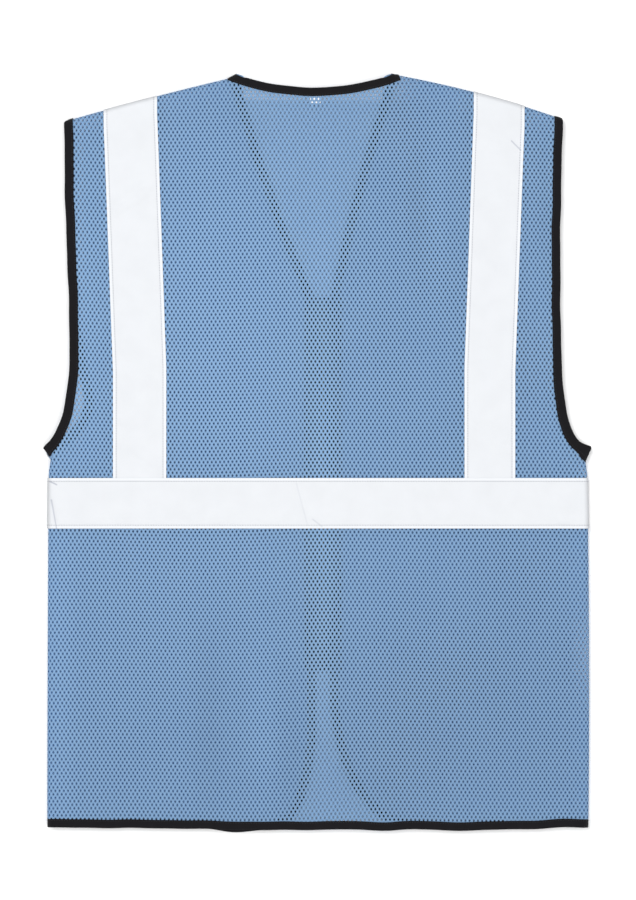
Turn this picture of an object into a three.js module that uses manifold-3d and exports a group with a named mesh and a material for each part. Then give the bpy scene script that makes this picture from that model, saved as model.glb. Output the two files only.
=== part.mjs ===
// A sleeveless mesh work vest, laid flat on its front with the neck towards +Y and the back up, +Z.
// Two layers of mesh are folded into each other along the side seams and the shoulders. Black binding
// edges the neck, armholes, front opening and hem. Silver tapes run over both shoulders and round the waist.
// Millimetres. X is measured from the middle of the hem and Y from the hem until the model is centred at the end.

import * as THREE from "three";
import { mergeVertices } from "three/addons/utils/BufferGeometryUtils.js";
import Module from "manifold-3d";

const manifold = await Module();
manifold.setup();

const { lerp, clamp } = THREE.MathUtils;

// Cloth
const clothWall = 1;
const trimWall = 1;
const seamGap = 0.3;
const foldRadius = 4.5;
const bindingWidth = 8.4;

// Body
const bodyLength = 739;
const hemWidth = 532;
const chestWidth = 529;
const underarmHeight = 363;
const armholeInset = 23;
const shoulderDrop = 44.5;
const shoulderLean = 5.3;
const underarmEase = 15; // length over which the side fold opens into the armhole

// Neck
const neckWidth = 149;
const neckShift = -3.7;
const neckDrop = 12.5;
const neckRoundness = 2.2;
const neckEase = 10; // length over which the shoulder fold opens into the neck

// Front opening
const vDepth = 221;
const zipGap = 14;
const zipShift = 5.1;
const zipEndHeight = 154;

// Tapes
const waistTapeHeight = 294;
const waistTapeWidth = 49.5;
const tapeSpacingAtShoulder = 361.4;
const tapeSpacingAtWaist = 343.5;
const tapeShift = -3;
const tapeBend = 0.26; // share of the armhole's depth, above the underarm

// Zip
const zipChainWidth = 4.4;
const zipChainThickness = 2;
const zipSliderWidth = 9;
const zipSliderLength = 13;
const zipSliderThickness = 3.4;

// Neck label
const labelWidth = 14;
const labelLength = 7.5;
const labelShift = -2.7;

// Height of the largest soft fold in the back, and the distance from the edges over which folds grow
const foldHeight = 2;
const foldGrowth = 50;

// How far the front hem hangs below the back hem where it dips, the middle of that dip, and half its width
const hemDip = 3;
const hemDipShift = -81;
const hemDipWidth = 22;

// Left and right as they lie in the view from above. shoulderBow and neckBow are how far the shoulder and the
// V of the neck bow out, slip is how far the front armhole lies inside the back one, and cornerWidth and
// cornerHeight are the size of the round lower corner of the front.
const sides = [
  {
    name: "left",
    sign: -1,
    tapeWidth: 52.4,
    shoulderBow: -1,
    neckBow: 5,
    slip: 9,
    cornerWidth: 37,
    cornerHeight: 106,
  },
  {
    name: "right",
    sign: 1,
    tapeWidth: 49.8,
    shoulderBow: 3.8,
    neckBow: -4,
    slip: 0,
    cornerWidth: 78,
    cornerHeight: 135,
  },
];

// Pockets on the outside of the front, which lies underneath. inner is the distance from the front edge,
// top is the height above the waist tape, and drop is how far the top slants down towards the zip.
const pockets = [
  { side: "left", inner: 66, width: 65, top: 94, drop: 15 },
  { side: "right", inner: 74, width: 55, top: 99, drop: 0 },
];

// Armhole: up is a share of its depth, inset of armholeInset, and lean of shoulderLean
const armholeRows = [
  { up: 0.0, inset: 0.08, lean: 0.0 },
  { up: 0.012, inset: -0.1, lean: 0.1 },
  { up: 0.03, inset: -0.13, lean: 0.45 },
  { up: 0.053, inset: 0.23, lean: 0.7 },
  { up: 0.083, inset: 0.49, lean: 0.72 },
  { up: 0.142, inset: 0.77, lean: 0.63 },
  { up: 0.26, inset: 0.96, lean: 0.54 },
  { up: 0.39, inset: 1.0, lean: 0.63 },
  { up: 0.62, inset: 0.96, lean: 0.9 },
  { up: 0.76, inset: 0.91, lean: 1.0 },
  { up: 1.0, inset: 0.85, lean: 0.9 },
];

// Slip of the front armhole inside the back one, as a share of each side's slip
const slipRows = [
  { up: 0.03, slip: 0.0 },
  { up: 0.09, slip: 0.8 },
  { up: 0.16, slip: 1.0 },
  { up: 0.26, slip: 0.5 },
  { up: 0.4, slip: 0.0 },
];

// Soft folds of the back: across is a share of half the chest, up and length of the body's length,
// width of the chest, height of foldHeight, and turn is clockwise degrees from upright
const foldRows = [
  { across: -0.4, up: 0.15, length: 0.15, width: 0.035, height: -0.6, turn: 0 },
  { across: -0.2, up: 0.22, length: 0.2, width: 0.04, height: 1.0, turn: 2 },
  { across: -0.07, up: 0.17, length: 0.16, width: 0.035, height: -0.5, turn: 0 },
  { across: -0.2, up: 0.63, length: 0.1, width: 0.04, height: 0.6, turn: 0 },
  { across: 0.44, up: 0.82, length: 0.11, width: 0.035, height: 1.0, turn: 14 },
  { across: 0.33, up: 0.83, length: 0.1, width: 0.03, height: -0.5, turn: 16 },
  { across: 0.3, up: 0.14, length: 0.16, width: 0.05, height: 0.6, turn: 0 },
  { across: 0.0, up: 0.8, length: 0.12, width: 0.08, height: 0.6, turn: 0 },
];

// Cells between the named lines of a layer
const stripCells = 2;
const tapeCells = 2;
const chestCells = 5;
const neckCells = 9;
const skirtCells = 6;
const armholeShares = [0.1, 0.15, 0.21, 0.3, 0.42, 0.54, 0.66, 0.78, 0.9];
const cornerSteps = 16;
const easeStart = 0.4; // share of an ease at which its first line lies
const bindingTop = 0.2; // share of the top cell of the front that its binding covers
const slantLimit = 1.5; // most that a slanting edge lengthens a sideways distance
const crossingPasses = 8; // passes that find where a line up and a line across meet

// Worked out from the sizes
const shoulderTipHeight = bodyLength - shoulderDrop;
const armholeDepth = shoulderTipHeight - underarmHeight;
const neckBottomHeight = bodyLength - vDepth;
const waistTapeTop = waistTapeHeight + waistTapeWidth;
const edgeInset = seamGap + trimWall;
const edgeBand = bindingWidth - edgeInset;
const innerStack = clothWall / 2 + seamGap;
const outerStack = innerStack + trimWall;
const quarterFold = (Math.PI / 2) * foldRadius;

// A smooth curve through one column of a table
function read(rows, key, column, at) {
  const last = rows.length - 1;
  if (at <= rows[0][key]) return rows[0][column];
  if (at >= rows[last][key]) return rows[last][column];
  const i = rows.findIndex((row) => row[key] > at) - 1;
  const slope = (k) => {
    const before = rows[Math.max(k - 1, 0)];
    const after = rows[Math.min(k + 1, last)];
    return (after[column] - before[column]) / (after[key] - before[key]);
  };
  const span = rows[i + 1][key] - rows[i][key];
  const t = (at - rows[i][key]) / span;
  const rise = t * t * (3 - 2 * t);
  const lift = span * t * (1 - t) * ((1 - t) * slope(i) - t * slope(i + 1));
  return lerp(rows[i][column], rows[i + 1][column], rise) + lift;
}

// How far above the underarm a height is, as a share of the armhole's depth
const shareUp = (y) => (y - underarmHeight) / armholeDepth;

// 1 where the side is folded over, 0 along the open armhole
function sideFold(y) {
  return clamp(1 - (y - underarmHeight) / underarmEase, 0, 1) ** 2;
}

// 1 where the shoulder is folded over, 0 along the open neck
function shoulderFold(x) {
  const insideCorner = neckWidth / 2 - Math.abs(x - neckShift);
  return clamp(1 - insideCorner / neckEase, 0, 1) ** 2;
}

// Height of the cloth over the middle of the fold, a distance s along the cloth from its edge
const foldRise = (s) => Math.sin(Math.min(s / foldRadius, Math.PI / 2));

// Distance seen from above that a distance s along the cloth covers, where folded is 1 on a fold
function foldRun(s, folded) {
  const bent = s < quarterFold ? foldRadius * (1 - Math.cos(s / foldRadius)) : s - quarterFold + foldRadius;
  return lerp(s, bent, folded);
}

// Outline of the side seam and armhole on one side
function sideOutline(side, y) {
  if (y <= underarmHeight) {
    const inset = armholeRows[0].inset * armholeInset * Math.max(0, 1 - (underarmHeight - y) / underarmEase);
    return side.sign * (lerp(hemWidth, chestWidth, y / underarmHeight) / 2 - inset);
  }
  const inset = read(armholeRows, "up", "inset", shareUp(y)) * armholeInset;
  const lean = read(armholeRows, "up", "lean", shareUp(y)) * shoulderLean;
  return side.sign * (chestWidth / 2 - inset) - lean;
}

// Lengthens a sideways distance where an edge slants
function slant(curve, y) {
  return Math.min(Math.hypot(1, (curve(y + 1) - curve(y - 1)) / 2), slantLimit);
}

// Edge of the cloth itself along the side seam and armhole
function clothSide(side, front, y) {
  const outline = (at) => sideOutline(side, at);
  const inset = lerp(edgeInset * slant(outline, y), clothWall / 2, sideFold(y));
  const slip = front ? read(slipRows, "up", "slip", shareUp(y)) * side.slip : 0;
  return outline(y) - side.sign * (inset + slip);
}

// Outline of the shoulders and the back of the neck
function topOutline(x) {
  const side = x < neckShift ? sides[0] : sides[1];
  const fromNeck = Math.abs(x - neckShift) - neckWidth / 2;
  if (fromNeck < 0) {
    const across = Math.abs(x - neckShift) / (neckWidth / 2);
    return bodyLength - neckDrop * (1 - across ** neckRoundness);
  }
  const run = Math.abs(sideOutline(side, shoulderTipHeight) - neckShift) - neckWidth / 2;
  const share = fromNeck / run;
  return bodyLength - shoulderDrop * share + side.shoulderBow * 4 * share * (1 - share);
}

// Outline of one front edge: the neck's slant, then the zip's side, then the round lower corner
function frontOutline(side, y) {
  const zipSide = zipShift + side.sign * (zipGap / 2);
  if (y > neckBottomHeight) {
    const share = (y - neckBottomHeight) / vDepth;
    const bow = side.neckBow * 4 * share * (1 - share);
    return lerp(zipSide, neckShift + side.sign * (neckWidth / 2), share) + side.sign * bow;
  }
  const turn = cornerAngle(side, Math.max(y, cornerPoint(side, cornerTurn(side)).y));
  return cornerPoint(side, turn).x;
}

// The lower corner of a front is a quarter of an ellipse, from the zip's side at 0 to the hem at 90 degrees
function cornerPoint(side, angle) {
  const zipSide = zipShift + side.sign * (zipGap / 2);
  const x = zipSide + side.sign * side.cornerWidth * (1 - Math.cos(angle));
  return new THREE.Vector2(x, side.cornerHeight * (1 - Math.sin(angle)));
}
const cornerAngle = (side, y) => Math.asin(clamp(1 - y / side.cornerHeight, 0, 1));
const cornerTurn = (side) => Math.atan(side.cornerHeight / side.cornerWidth);

// Direction out of the cloth at the corner
function cornerOut(side, angle) {
  const across = -side.sign * Math.cos(angle) * side.cornerHeight;
  return new THREE.Vector2(across, -Math.sin(angle) * side.cornerWidth).normalize();
}

// Height of the hem's outline under a point of the front, which dips on the left and rises round its corner
function frontHem(side, x) {
  const inCorner = side.cornerWidth - side.sign * (x - zipShift) + zipGap / 2;
  const share = clamp(inCorner / side.cornerWidth, 0, 1);
  const dip = hemDip * Math.exp(-(((x - hemDipShift) / hemDipWidth) ** 2));
  return side.cornerHeight * (1 - Math.sqrt(1 - share * share)) - dip;
}

// Edge of the cloth at the hem
function hemEdge(side, front, x) {
  if (!front) return edgeInset;
  const hem = (at) => frontHem(side, at);
  return hem(x) + edgeInset * slant(hem, x);
}

// Edge of the cloth at the front opening
function clothFront(side, y) {
  const outline = (at) => frontOutline(side, at);
  return outline(y) + side.sign * edgeInset * slant(outline, y);
}

// Middle line of a shoulder tape
function tapeMiddle(side, y) {
  const share = clamp((shareUp(y) - tapeBend) / (1 - tapeBend), 0, 1);
  return tapeShift + (side.sign * lerp(tapeSpacingAtWaist, tapeSpacingAtShoulder, share)) / 2;
}

// Lines that run up one side of a layer, from its edge inwards. reach is the distance along the cloth
// from the edge, where that matters.
function halfColumns(side, front, gap) {
  const edge = (reach) => (y) => {
    const outline = (at) => clothSide(side, front, at);
    const folded = sideFold(y);
    const stretch = lerp(slant(outline, y), 1, folded);
    return outline(y) - side.sign * foldRun(Math.max(reach, (gap / 2) * folded), folded) * stretch;
  };
  const tapeOuter = (y) => tapeMiddle(side, y) + (side.sign * side.tapeWidth) / 2;
  const tapeInner = (y) => tapeMiddle(side, y) - (side.sign * side.tapeWidth) / 2;
  const opening = front ? (y) => clothFront(side, y) : () => neckShift + (side.sign * neckWidth) / 2;
  return [
    { x: edge(0), reach: gap / 2 },
    { x: edge(edgeBand / 2), reach: edgeBand / 2 },
    ...between(edge(edgeBand), tapeOuter, stripCells),
    ...between(tapeOuter, tapeInner, tapeCells),
    ...between(tapeInner, opening, chestCells),
    { x: opening, reach: Infinity },
  ];
}

// Evenly spaced lines from one line towards another, without the last
function between(from, to, cells) {
  return Array.from({ length: cells }, (_, i) => ({
    x: (y) => lerp(from(y), to(y), i / cells),
    reach: Infinity,
  }));
}

// Lines across the neck, between the two lines through its corners. The first lies close to the corner,
// where the binding starts.
function neckColumns() {
  const start = (easeStart * neckEase) / neckWidth;
  return Array.from({ length: neckCells + 1 }, (_, i) => {
    const share = lerp(start, 1 - start, i / neckCells);
    return { x: () => neckShift + neckWidth * (share - 0.5), reach: Infinity };
  });
}

// Lines that run across a layer, from the hem to the shoulders
function layerRows(side, front, gap) {
  const level = (y) => ({ y: () => y, reach: Infinity });
  const hem = (x) => hemEdge(side, front, x);
  const top = (x) => {
    const inset = lerp(edgeInset, clothWall / 2, shoulderFold(x));
    return topOutline(x) - inset * slant(topOutline, x);
  };
  const fromTop = (reach) => ({
    y: (x) => {
      const folded = shoulderFold(x);
      return top(x) - foldRun(Math.max(reach, (gap / 2) * folded), folded) * slant(topOutline, x);
    },
    reach: Math.max(reach, gap / 2),
  });
  const skirt = Array.from({ length: skirtCells - 1 }, (_, i) => {
    const share = (i + 1) / skirtCells;
    return level(lerp(edgeInset + edgeBand, waistTapeHeight, share));
  });
  const ease = underarmEase / armholeDepth;
  const armhole = [easeStart * ease, ease, ...armholeShares];
  return [
    { y: hem, reach: Infinity },
    { y: (x) => hem(x) + edgeBand, reach: Infinity },
    ...skirt,
    level(waistTapeHeight),
    level(waistTapeHeight + waistTapeWidth / 2),
    level(waistTapeTop),
    level(underarmHeight),
    ...armhole.map((share) => ({ y: (x) => lerp(underarmHeight, top(x), share), reach: Infinity })),
    fromTop(edgeBand),
    fromTop(edgeBand / 2),
    fromTop(0),
  ];
}
const waistRow = 1 + skirtCells;
const underarmRow = waistRow + 3;

// Height of the soft folds in the back
function softFolds(x, y) {
  const clear = (distance) => THREE.MathUtils.smoothstep(distance, bindingWidth, foldGrowth);
  const fromSide = Math.min(...sides.map((side) => side.sign * (sideOutline(side, y) - x)));
  const calm = clear(fromSide) * clear(topOutline(x) - y);
  return calm * foldRows.reduce((sum, fold) => sum + foldAt(fold, x, y), 0);
}

function foldAt(fold, x, y) {
  const turn = THREE.MathUtils.degToRad(fold.turn);
  const dx = x - (fold.across * chestWidth) / 2;
  const dy = y - fold.up * bodyLength;
  const along = (dy * Math.cos(turn) - dx * Math.sin(turn)) / (fold.length * bodyLength);
  const across = (dx * Math.cos(turn) + dy * Math.sin(turn)) / (fold.width * chestWidth);
  return foldHeight * fold.height * Math.exp(-along * along - across * across);
}

// A layer of cloth as a grid of points on its middle surface, with normals that point out of the vest
function makeLayer(columns, rows, front) {
  const facing = front ? -1 : 1;
  const points = rows.map((row) =>
    columns.map((column) => {
      let x = 0;
      let y = underarmHeight;
      for (let pass = 0; pass < crossingPasses; pass += 1) {
        y = row.y(column.x(y));
        x = column.x(y);
      }
      const sideRise = lerp(1, foldRise(column.reach), sideFold(y));
      const topRise = lerp(1, foldRise(row.reach), shoulderFold(x));
      const folds = front ? 0 : softFolds(x, y);
      return new THREE.Vector3(x, y, facing * foldRadius * sideRise * topRise + folds);
    }),
  );
  const last = { row: rows.length - 1, column: columns.length - 1 };
  const mirrored = (point) => point.clone().setZ(-point.z);
  const step = (here, before, after, folded) => {
    if (before && after) return after.clone().sub(before);
    if (!folded) return after ? after.clone().sub(here) : here.clone().sub(before);
    return after ? after.clone().sub(mirrored(after)) : mirrored(before).sub(before);
  };
  const normals = points.map((line, r) =>
    line.map((here, c) => {
      const below = r > 0 ? points[r - 1][c] : undefined;
      const above = r < last.row ? points[r + 1][c] : undefined;
      const onSide = columns[c].reach < Infinity && here.y < underarmHeight + seamGap;
      const onShoulder = r === last.row && shoulderFold(here.x) === 1;
      const across = step(here, line[c - 1], line[c + 1], onSide);
      return across.cross(step(here, below, above, onShoulder)).multiplyScalar(facing).normalize();
    }),
  );
  return { points, normals, rows: last.row, columns: last.column };
}

// A place on a layer between its grid points
function onLayer(layer, row, column) {
  const r = Math.min(Math.floor(row), layer.rows - 1);
  const c = Math.min(Math.floor(column), layer.columns - 1);
  const mix = (grid) => {
    const low = grid[r][c].clone().lerp(grid[r][c + 1], column - c);
    const high = grid[r + 1][c].clone().lerp(grid[r + 1][c + 1], column - c);
    return low.lerp(high, row - r);
  };
  return { point: mix(layer.points), normal: mix(layer.normals).normalize() };
}

// The row or column between grid lines at which a layer reaches a value of x or y
function rowAt(layer, column, y) {
  const r = layer.points.findIndex((line) => line[column].y > y) - 1;
  const low = layer.points[r][column].y;
  return r + (y - low) / (layer.points[r + 1][column].y - low);
}
function columnAt(layer, row, x) {
  const line = layer.points[row];
  const rising = line[0].x < line[layer.columns].x;
  const c = line.findIndex((point) => (rising ? point.x > x : point.x < x)) - 1;
  return c + (x - line[c].x) / (line[c + 1].x - line[c].x);
}

// A closed body between two grids of points of the same size
function slab(upper, lower) {
  const rows = upper.length;
  const columns = upper[0].length;
  const corners = [...upper.flat(), ...lower.flat()];
  const top = (r, c) => r * columns + c;
  const bottom = (r, c) => rows * columns + top(r, c);
  const twist = ([a, b, c, d], below) => {
    const raised = corners[a].clone().add(corners[c]).sub(corners[b]).sub(corners[d]);
    return raised.dot(corners[a].clone().sub(corners[below]));
  };
  const triangles = [];
  const quad = (a, b, c, d) => triangles.push(a, b, c, a, c, d);
  for (let r = 0; r < rows - 1; r += 1) {
    for (let c = 0; c < columns - 1; c += 1) {
      const upperCell = [top(r, c), top(r, c + 1), top(r + 1, c + 1), top(r + 1, c)];
      const lowerCell = [bottom(r, c), bottom(r + 1, c), bottom(r + 1, c + 1), bottom(r, c + 1)];
      // A twisted cell is split along its raised diagonal, in the cloth and in what lies on it alike
      if (twist(upperCell, bottom(r, c)) < 0) {
        upperCell.push(upperCell.shift());
        lowerCell.unshift(lowerCell.pop());
      }
      quad(...upperCell);
      quad(...lowerCell);
    }
    quad(bottom(r, 0), top(r, 0), top(r + 1, 0), bottom(r + 1, 0));
    quad(top(r, columns - 1), bottom(r, columns - 1), bottom(r + 1, columns - 1), top(r + 1, columns - 1));
  }
  for (let c = 0; c < columns - 1; c += 1) {
    quad(bottom(0, c), bottom(0, c + 1), top(0, c + 1), top(0, c));
    quad(top(rows - 1, c), top(rows - 1, c + 1), bottom(rows - 1, c + 1), bottom(rows - 1, c));
  }
  const geometry = new THREE.BufferGeometry().setFromPoints(corners);
  geometry.setIndex(facesOut(corners, triangles) ? triangles : triangles.reverse());
  geometry.computeVertexNormals();
  return geometry;
}

// Whether the triangles of a closed body face out, by the sign of its volume
function facesOut(corners, triangles) {
  let volume = 0;
  for (let i = 0; i < triangles.length; i += 3) {
    const [a, b, c] = triangles.slice(i, i + 3).map((k) => corners[k]);
    volume += a.dot(b.clone().cross(c));
  }
  return volume > 0;
}

// A skin between two distances from the middle surface, over a grid of places on a layer
function skin(places, from, to) {
  const at = (distance) =>
    places.map((line) => line.map(({ point, normal }) => point.clone().addScaledVector(normal, distance)));
  return slab(at(to), at(from));
}

const range = (from, to) => Array.from({ length: to - from + 1 }, (_, i) => from + i);

// Places on a layer for each pair of a row and a column
const places = (layer, rows, columns) => rows.map((r) => columns.map((c) => onLayer(layer, r, c)));

// Binding folded over an edge. Each station holds the edge first, and then places further in.
function binding(stations) {
  const edges = stations.map((station) => station[0].point);
  const upper = [];
  const lower = [];
  stations.forEach((station, i) => {
    const [edge] = station;
    const inner = station[station.length - 1];
    const before = edges[Math.max(i - 1, 0)];
    const after = edges[Math.min(i + 1, edges.length - 1)];
    const out = after.clone().sub(before).cross(edge.normal).normalize();
    if (out.dot(edge.point.clone().sub(inner.point)) < 0) out.negate();
    const line = (wrap, distance) => [
      ...station.slice(1).reverse().map(({ point, normal }) => point.clone().addScaledVector(normal, distance)),
      edge.point.clone().addScaledVector(out, wrap).addScaledVector(edge.normal, distance),
    ];
    upper.push([...line(edgeInset, outerStack), ...line(edgeInset, -outerStack).reverse()]);
    lower.push([...line(seamGap, innerStack), ...line(seamGap, -innerStack).reverse()]);
  });
  return slab(upper, lower);
}

// A flat plate on the layer that lies underneath, hanging down from a height
function frontPlate(outline, upperFace, thickness) {
  const shape = new THREE.Shape(outline);
  const geometry = new THREE.ExtrudeGeometry(shape, { depth: thickness, bevelEnabled: false });
  return geometry.translate(0, 0, upperFace - thickness);
}

// A closed geometry as a solid that can be joined, and back again
function asManifold(geometry) {
  const bare = geometry.clone();
  bare.deleteAttribute("normal");
  bare.deleteAttribute("uv");
  const merged = mergeVertices(bare);
  const vertProperties = new Float32Array(merged.attributes.position.array);
  const triVerts = new Uint32Array(merged.index.array);
  return new manifold.Manifold(new manifold.Mesh({ numProp: 3, vertProperties, triVerts }));
}
function asGeometry(solid) {
  const { vertProperties, triVerts } = solid.getMesh();
  const geometry = new THREE.BufferGeometry();
  geometry.setAttribute("position", new THREE.BufferAttribute(vertProperties, 3));
  geometry.setIndex(new THREE.BufferAttribute(triVerts, 1));
  geometry.computeVertexNormals();
  return geometry;
}

const materials = {
  mesh: new THREE.MeshStandardMaterial({ color: 0x82a4cb, roughness: 0.85, metalness: 0 }),
  binding: new THREE.MeshStandardMaterial({ color: 0x201f22, roughness: 0.9, metalness: 0 }),
  tape: new THREE.MeshStandardMaterial({ color: 0xf1f4f9, roughness: 0.45, metalness: 0.1 }),
  zip: new THREE.MeshStandardMaterial({ color: 0x1c1c1f, roughness: 0.6, metalness: 0 }),
  label: new THREE.MeshStandardMaterial({ color: 0xf4f4f2, roughness: 0.8, metalness: 0 }),
};

const vest = new THREE.Group();

function add(name, geometry, material) {
  const mesh = new THREE.Mesh(geometry, materials[material]);
  mesh.name = name;
  vest.add(mesh);
}

// Both layers, once with the gap along their folds and once without it for what wraps over a fold
function backLayer(gap) {
  const [left, right] = sides.map((side) => halfColumns(side, false, gap));
  return makeLayer([...left, ...neckColumns(), ...right.reverse()], layerRows(sides[0], false, gap), false);
}
function frontLayer(side, gap) {
  const columns = halfColumns(side, true, gap);
  const ordered = side.sign < 0 ? columns : columns.reverse();
  return makeLayer(ordered, layerRows(side, true, gap), true);
}
const back = backLayer(seamGap);
const backWhole = backLayer(0);
const halfCount = 2 + stripCells + tapeCells + chestCells;
const tapeStart = 2 + stripCells;
const topRow = back.rows;

function panel(layer) {
  const everywhere = places(layer, range(0, layer.rows), range(0, layer.columns));
  return skin(everywhere, -clothWall / 2, clothWall / 2);
}

// Column of a layer, counted from the edge on one side inwards
const fromEdge = (layer, side, count) => (side.sign < 0 ? count : layer.columns - count);

add("back_panel", panel(back), "mesh");

const hemStations = range(0, back.columns).map((c) => [0, 1].map((r) => onLayer(back, r, c)));
add("hem_binding_back", binding(hemStations), "binding");

const neckStations = range(halfCount + 1, back.columns - halfCount - 1).map((c) =>
  [topRow, topRow - 1, topRow - 2].map((r) => onLayer(back, r, c)),
);
add("neck_binding", binding(neckStations), "binding");

const waistRows = range(waistRow, waistRow + 2);
add("waist_tape_back", skin(places(back, waistRows, range(0, back.columns)), innerStack, outerStack), "tape");

for (const side of sides) {
  const front = frontLayer(side, seamGap);
  const frontWhole = frontLayer(side, 0);
  add(`front_panel_${side.name}`, panel(front), "mesh");

  // Armhole binding, from the underarm up the back, over the shoulder and down the front
  const armholeRowsUp = range(underarmRow + 1, topRow);
  const armholeStation = (layer, r) => [0, 1, 2].map((count) => onLayer(layer, r, fromEdge(layer, side, count)));
  add(
    `armhole_binding_${side.name}`,
    binding([
      ...armholeRowsUp.map((r) => armholeStation(backWhole, r)),
      ...armholeRowsUp.slice(0, -1).reverse().map((r) => armholeStation(frontWhole, r)),
    ]),
    "binding",
  );

  // Shoulder tape, from the waist tape up the back, over the shoulder and down the front
  const tapeColumns = range(tapeStart, tapeStart + tapeCells);
  const tapeEnd = waistRow + 2 + seamGap / (underarmHeight - waistTapeTop);
  const tapeRows = [tapeEnd, ...range(underarmRow, topRow)];
  const tapeLine = (layer, r) => tapeColumns.map((count) => onLayer(layer, r, fromEdge(layer, side, count)));
  add(
    `shoulder_tape_${side.name}`,
    skin(
      [
        ...tapeRows.map((r) => tapeLine(backWhole, r)),
        ...tapeRows.slice(0, -1).reverse().map((r) => tapeLine(frontWhole, r)),
      ],
      innerStack,
      outerStack,
    ),
    "tape",
  );

  // Front binding, from the side seam along the hem, round the corner, up past the zip and the neck
  const flat = (x, y) => ({ point: new THREE.Vector3(x, y, -foldRadius), normal: new THREE.Vector3(0, 0, -1) });
  const cornerStart = cornerPoint(side, Math.PI / 2).x;
  const hemCounts = range(0, front.columns).filter((count) => {
    const { point } = onLayer(front, 0, fromEdge(front, side, count));
    return side.sign * (point.x - cornerStart) > bindingWidth;
  });
  const alongHem = hemCounts.map((count) => [0, 1].map((r) => onLayer(front, r, fromEdge(front, side, count))));
  const roundCorner = range(0, cornerSteps).map((step) => {
    const angle = (Math.PI / 2) * (1 - step / cornerSteps);
    const out = cornerOut(side, angle);
    const at = cornerPoint(side, angle);
    return [edgeInset, bindingWidth].map((inwards) => flat(at.x - out.x * inwards, at.y - out.y * inwards));
  });
  const opening = fromEdge(front, side, front.columns);
  const rowsUp = range(0, topRow - 1).filter((r) => front.points[r][opening].y > side.cornerHeight + bindingWidth);
  const upOpening = [...rowsUp, topRow - 1 + bindingTop].map((r) => {
    const edge = onLayer(front, r, opening);
    const inner = onLayer(front, r, fromEdge(front, side, front.columns - 1));
    const reach = edgeBand / edge.point.distanceTo(inner.point);
    return [edge, onLayer(front, r, fromEdge(front, side, front.columns - reach))];
  });
  add(`front_binding_${side.name}`, binding([...alongHem, ...roundCorner, ...upOpening]), "binding");

  // Waist tape of the front, from the side seam to the front binding
  const edgeWidth = edgeBand + seamGap;
  const tapeStop = columnAt(front, waistRow, clothFront(side, waistTapeHeight) + side.sign * edgeWidth);
  const counts = range(0, front.columns - 1).map((count) => fromEdge(front, side, count));
  add(
    `waist_tape_front_${side.name}`,
    skin(places(front, waistRows, [...counts, tapeStop].sort((a, b) => a - b)), innerStack, outerStack),
    "tape",
  );
}

for (const pocket of pockets) {
  const side = sides.find(({ name }) => name === pocket.side);
  const zipSide = zipShift + (side.sign * zipGap) / 2;
  const innerX = zipSide + side.sign * pocket.inner;
  const outerX = innerX + side.sign * pocket.width;
  const bottom = waistTapeTop + seamGap;
  const outline = [
    new THREE.Vector2(innerX, bottom),
    new THREE.Vector2(outerX, bottom),
    new THREE.Vector2(outerX, waistTapeTop + pocket.top),
    new THREE.Vector2(innerX, waistTapeTop + pocket.top - pocket.drop),
  ];
  add(`chest_pocket_${side.name}`, frontPlate(outline, -foldRadius - innerStack, trimWall), "mesh");
}

// Zip, closed: its tapes with the chain down the middle and the slider at the top, as one plain piece
const zipTop = neckBottomHeight - edgeInset;
const zipBlocks = [
  { width: zipGap - 2 * seamGap, bottom: zipEndHeight, thickness: clothWall },
  { width: zipChainWidth, bottom: zipEndHeight, thickness: zipChainThickness },
  { width: zipSliderWidth, bottom: zipTop - zipSliderLength, thickness: zipSliderThickness },
];
const zipSolids = zipBlocks.map(({ width, bottom, thickness }) => {
  const block = new THREE.BoxGeometry(width, zipTop - bottom, thickness);
  return asManifold(block.translate(zipShift, (zipTop + bottom) / 2, -foldRadius));
});
add("front_zip", asGeometry(zipSolids.reduce((whole, block) => whole.add(block))), "zip");

// Neck label, on the inside of the back below the neck binding
const labelColumn = halfCount + 1 + Math.round(neckCells / 2);
const labelTop = back.points[topRow - 2][labelColumn].y - seamGap;
const labelRows = [labelTop - labelLength, labelTop].map((y) => rowAt(back, labelColumn, y));
const labelColumns = [-0.5, 0.5].map((share) => columnAt(back, topRow - 2, labelShift + share * labelWidth));
add("neck_label", skin(places(back, labelRows, labelColumns), -outerStack, -innerStack), "label");

// The origin is under the middle of the box, on the surface that the vest lies on
const box = new THREE.Box3().setFromObject(vest);
const middle = box.getCenter(new THREE.Vector3());
vest.position.set(-middle.x, -middle.y, -box.min.z);

export default vest;
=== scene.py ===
"""A sleeveless mesh work vest, laid flat with its back up. Metres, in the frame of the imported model.

The shapes are worked out in the same flat measures as the solids: x from the middle of the hem, y from the
hem up to the neck, and z from the middle of the fold along the sides and shoulders.
"""

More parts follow.
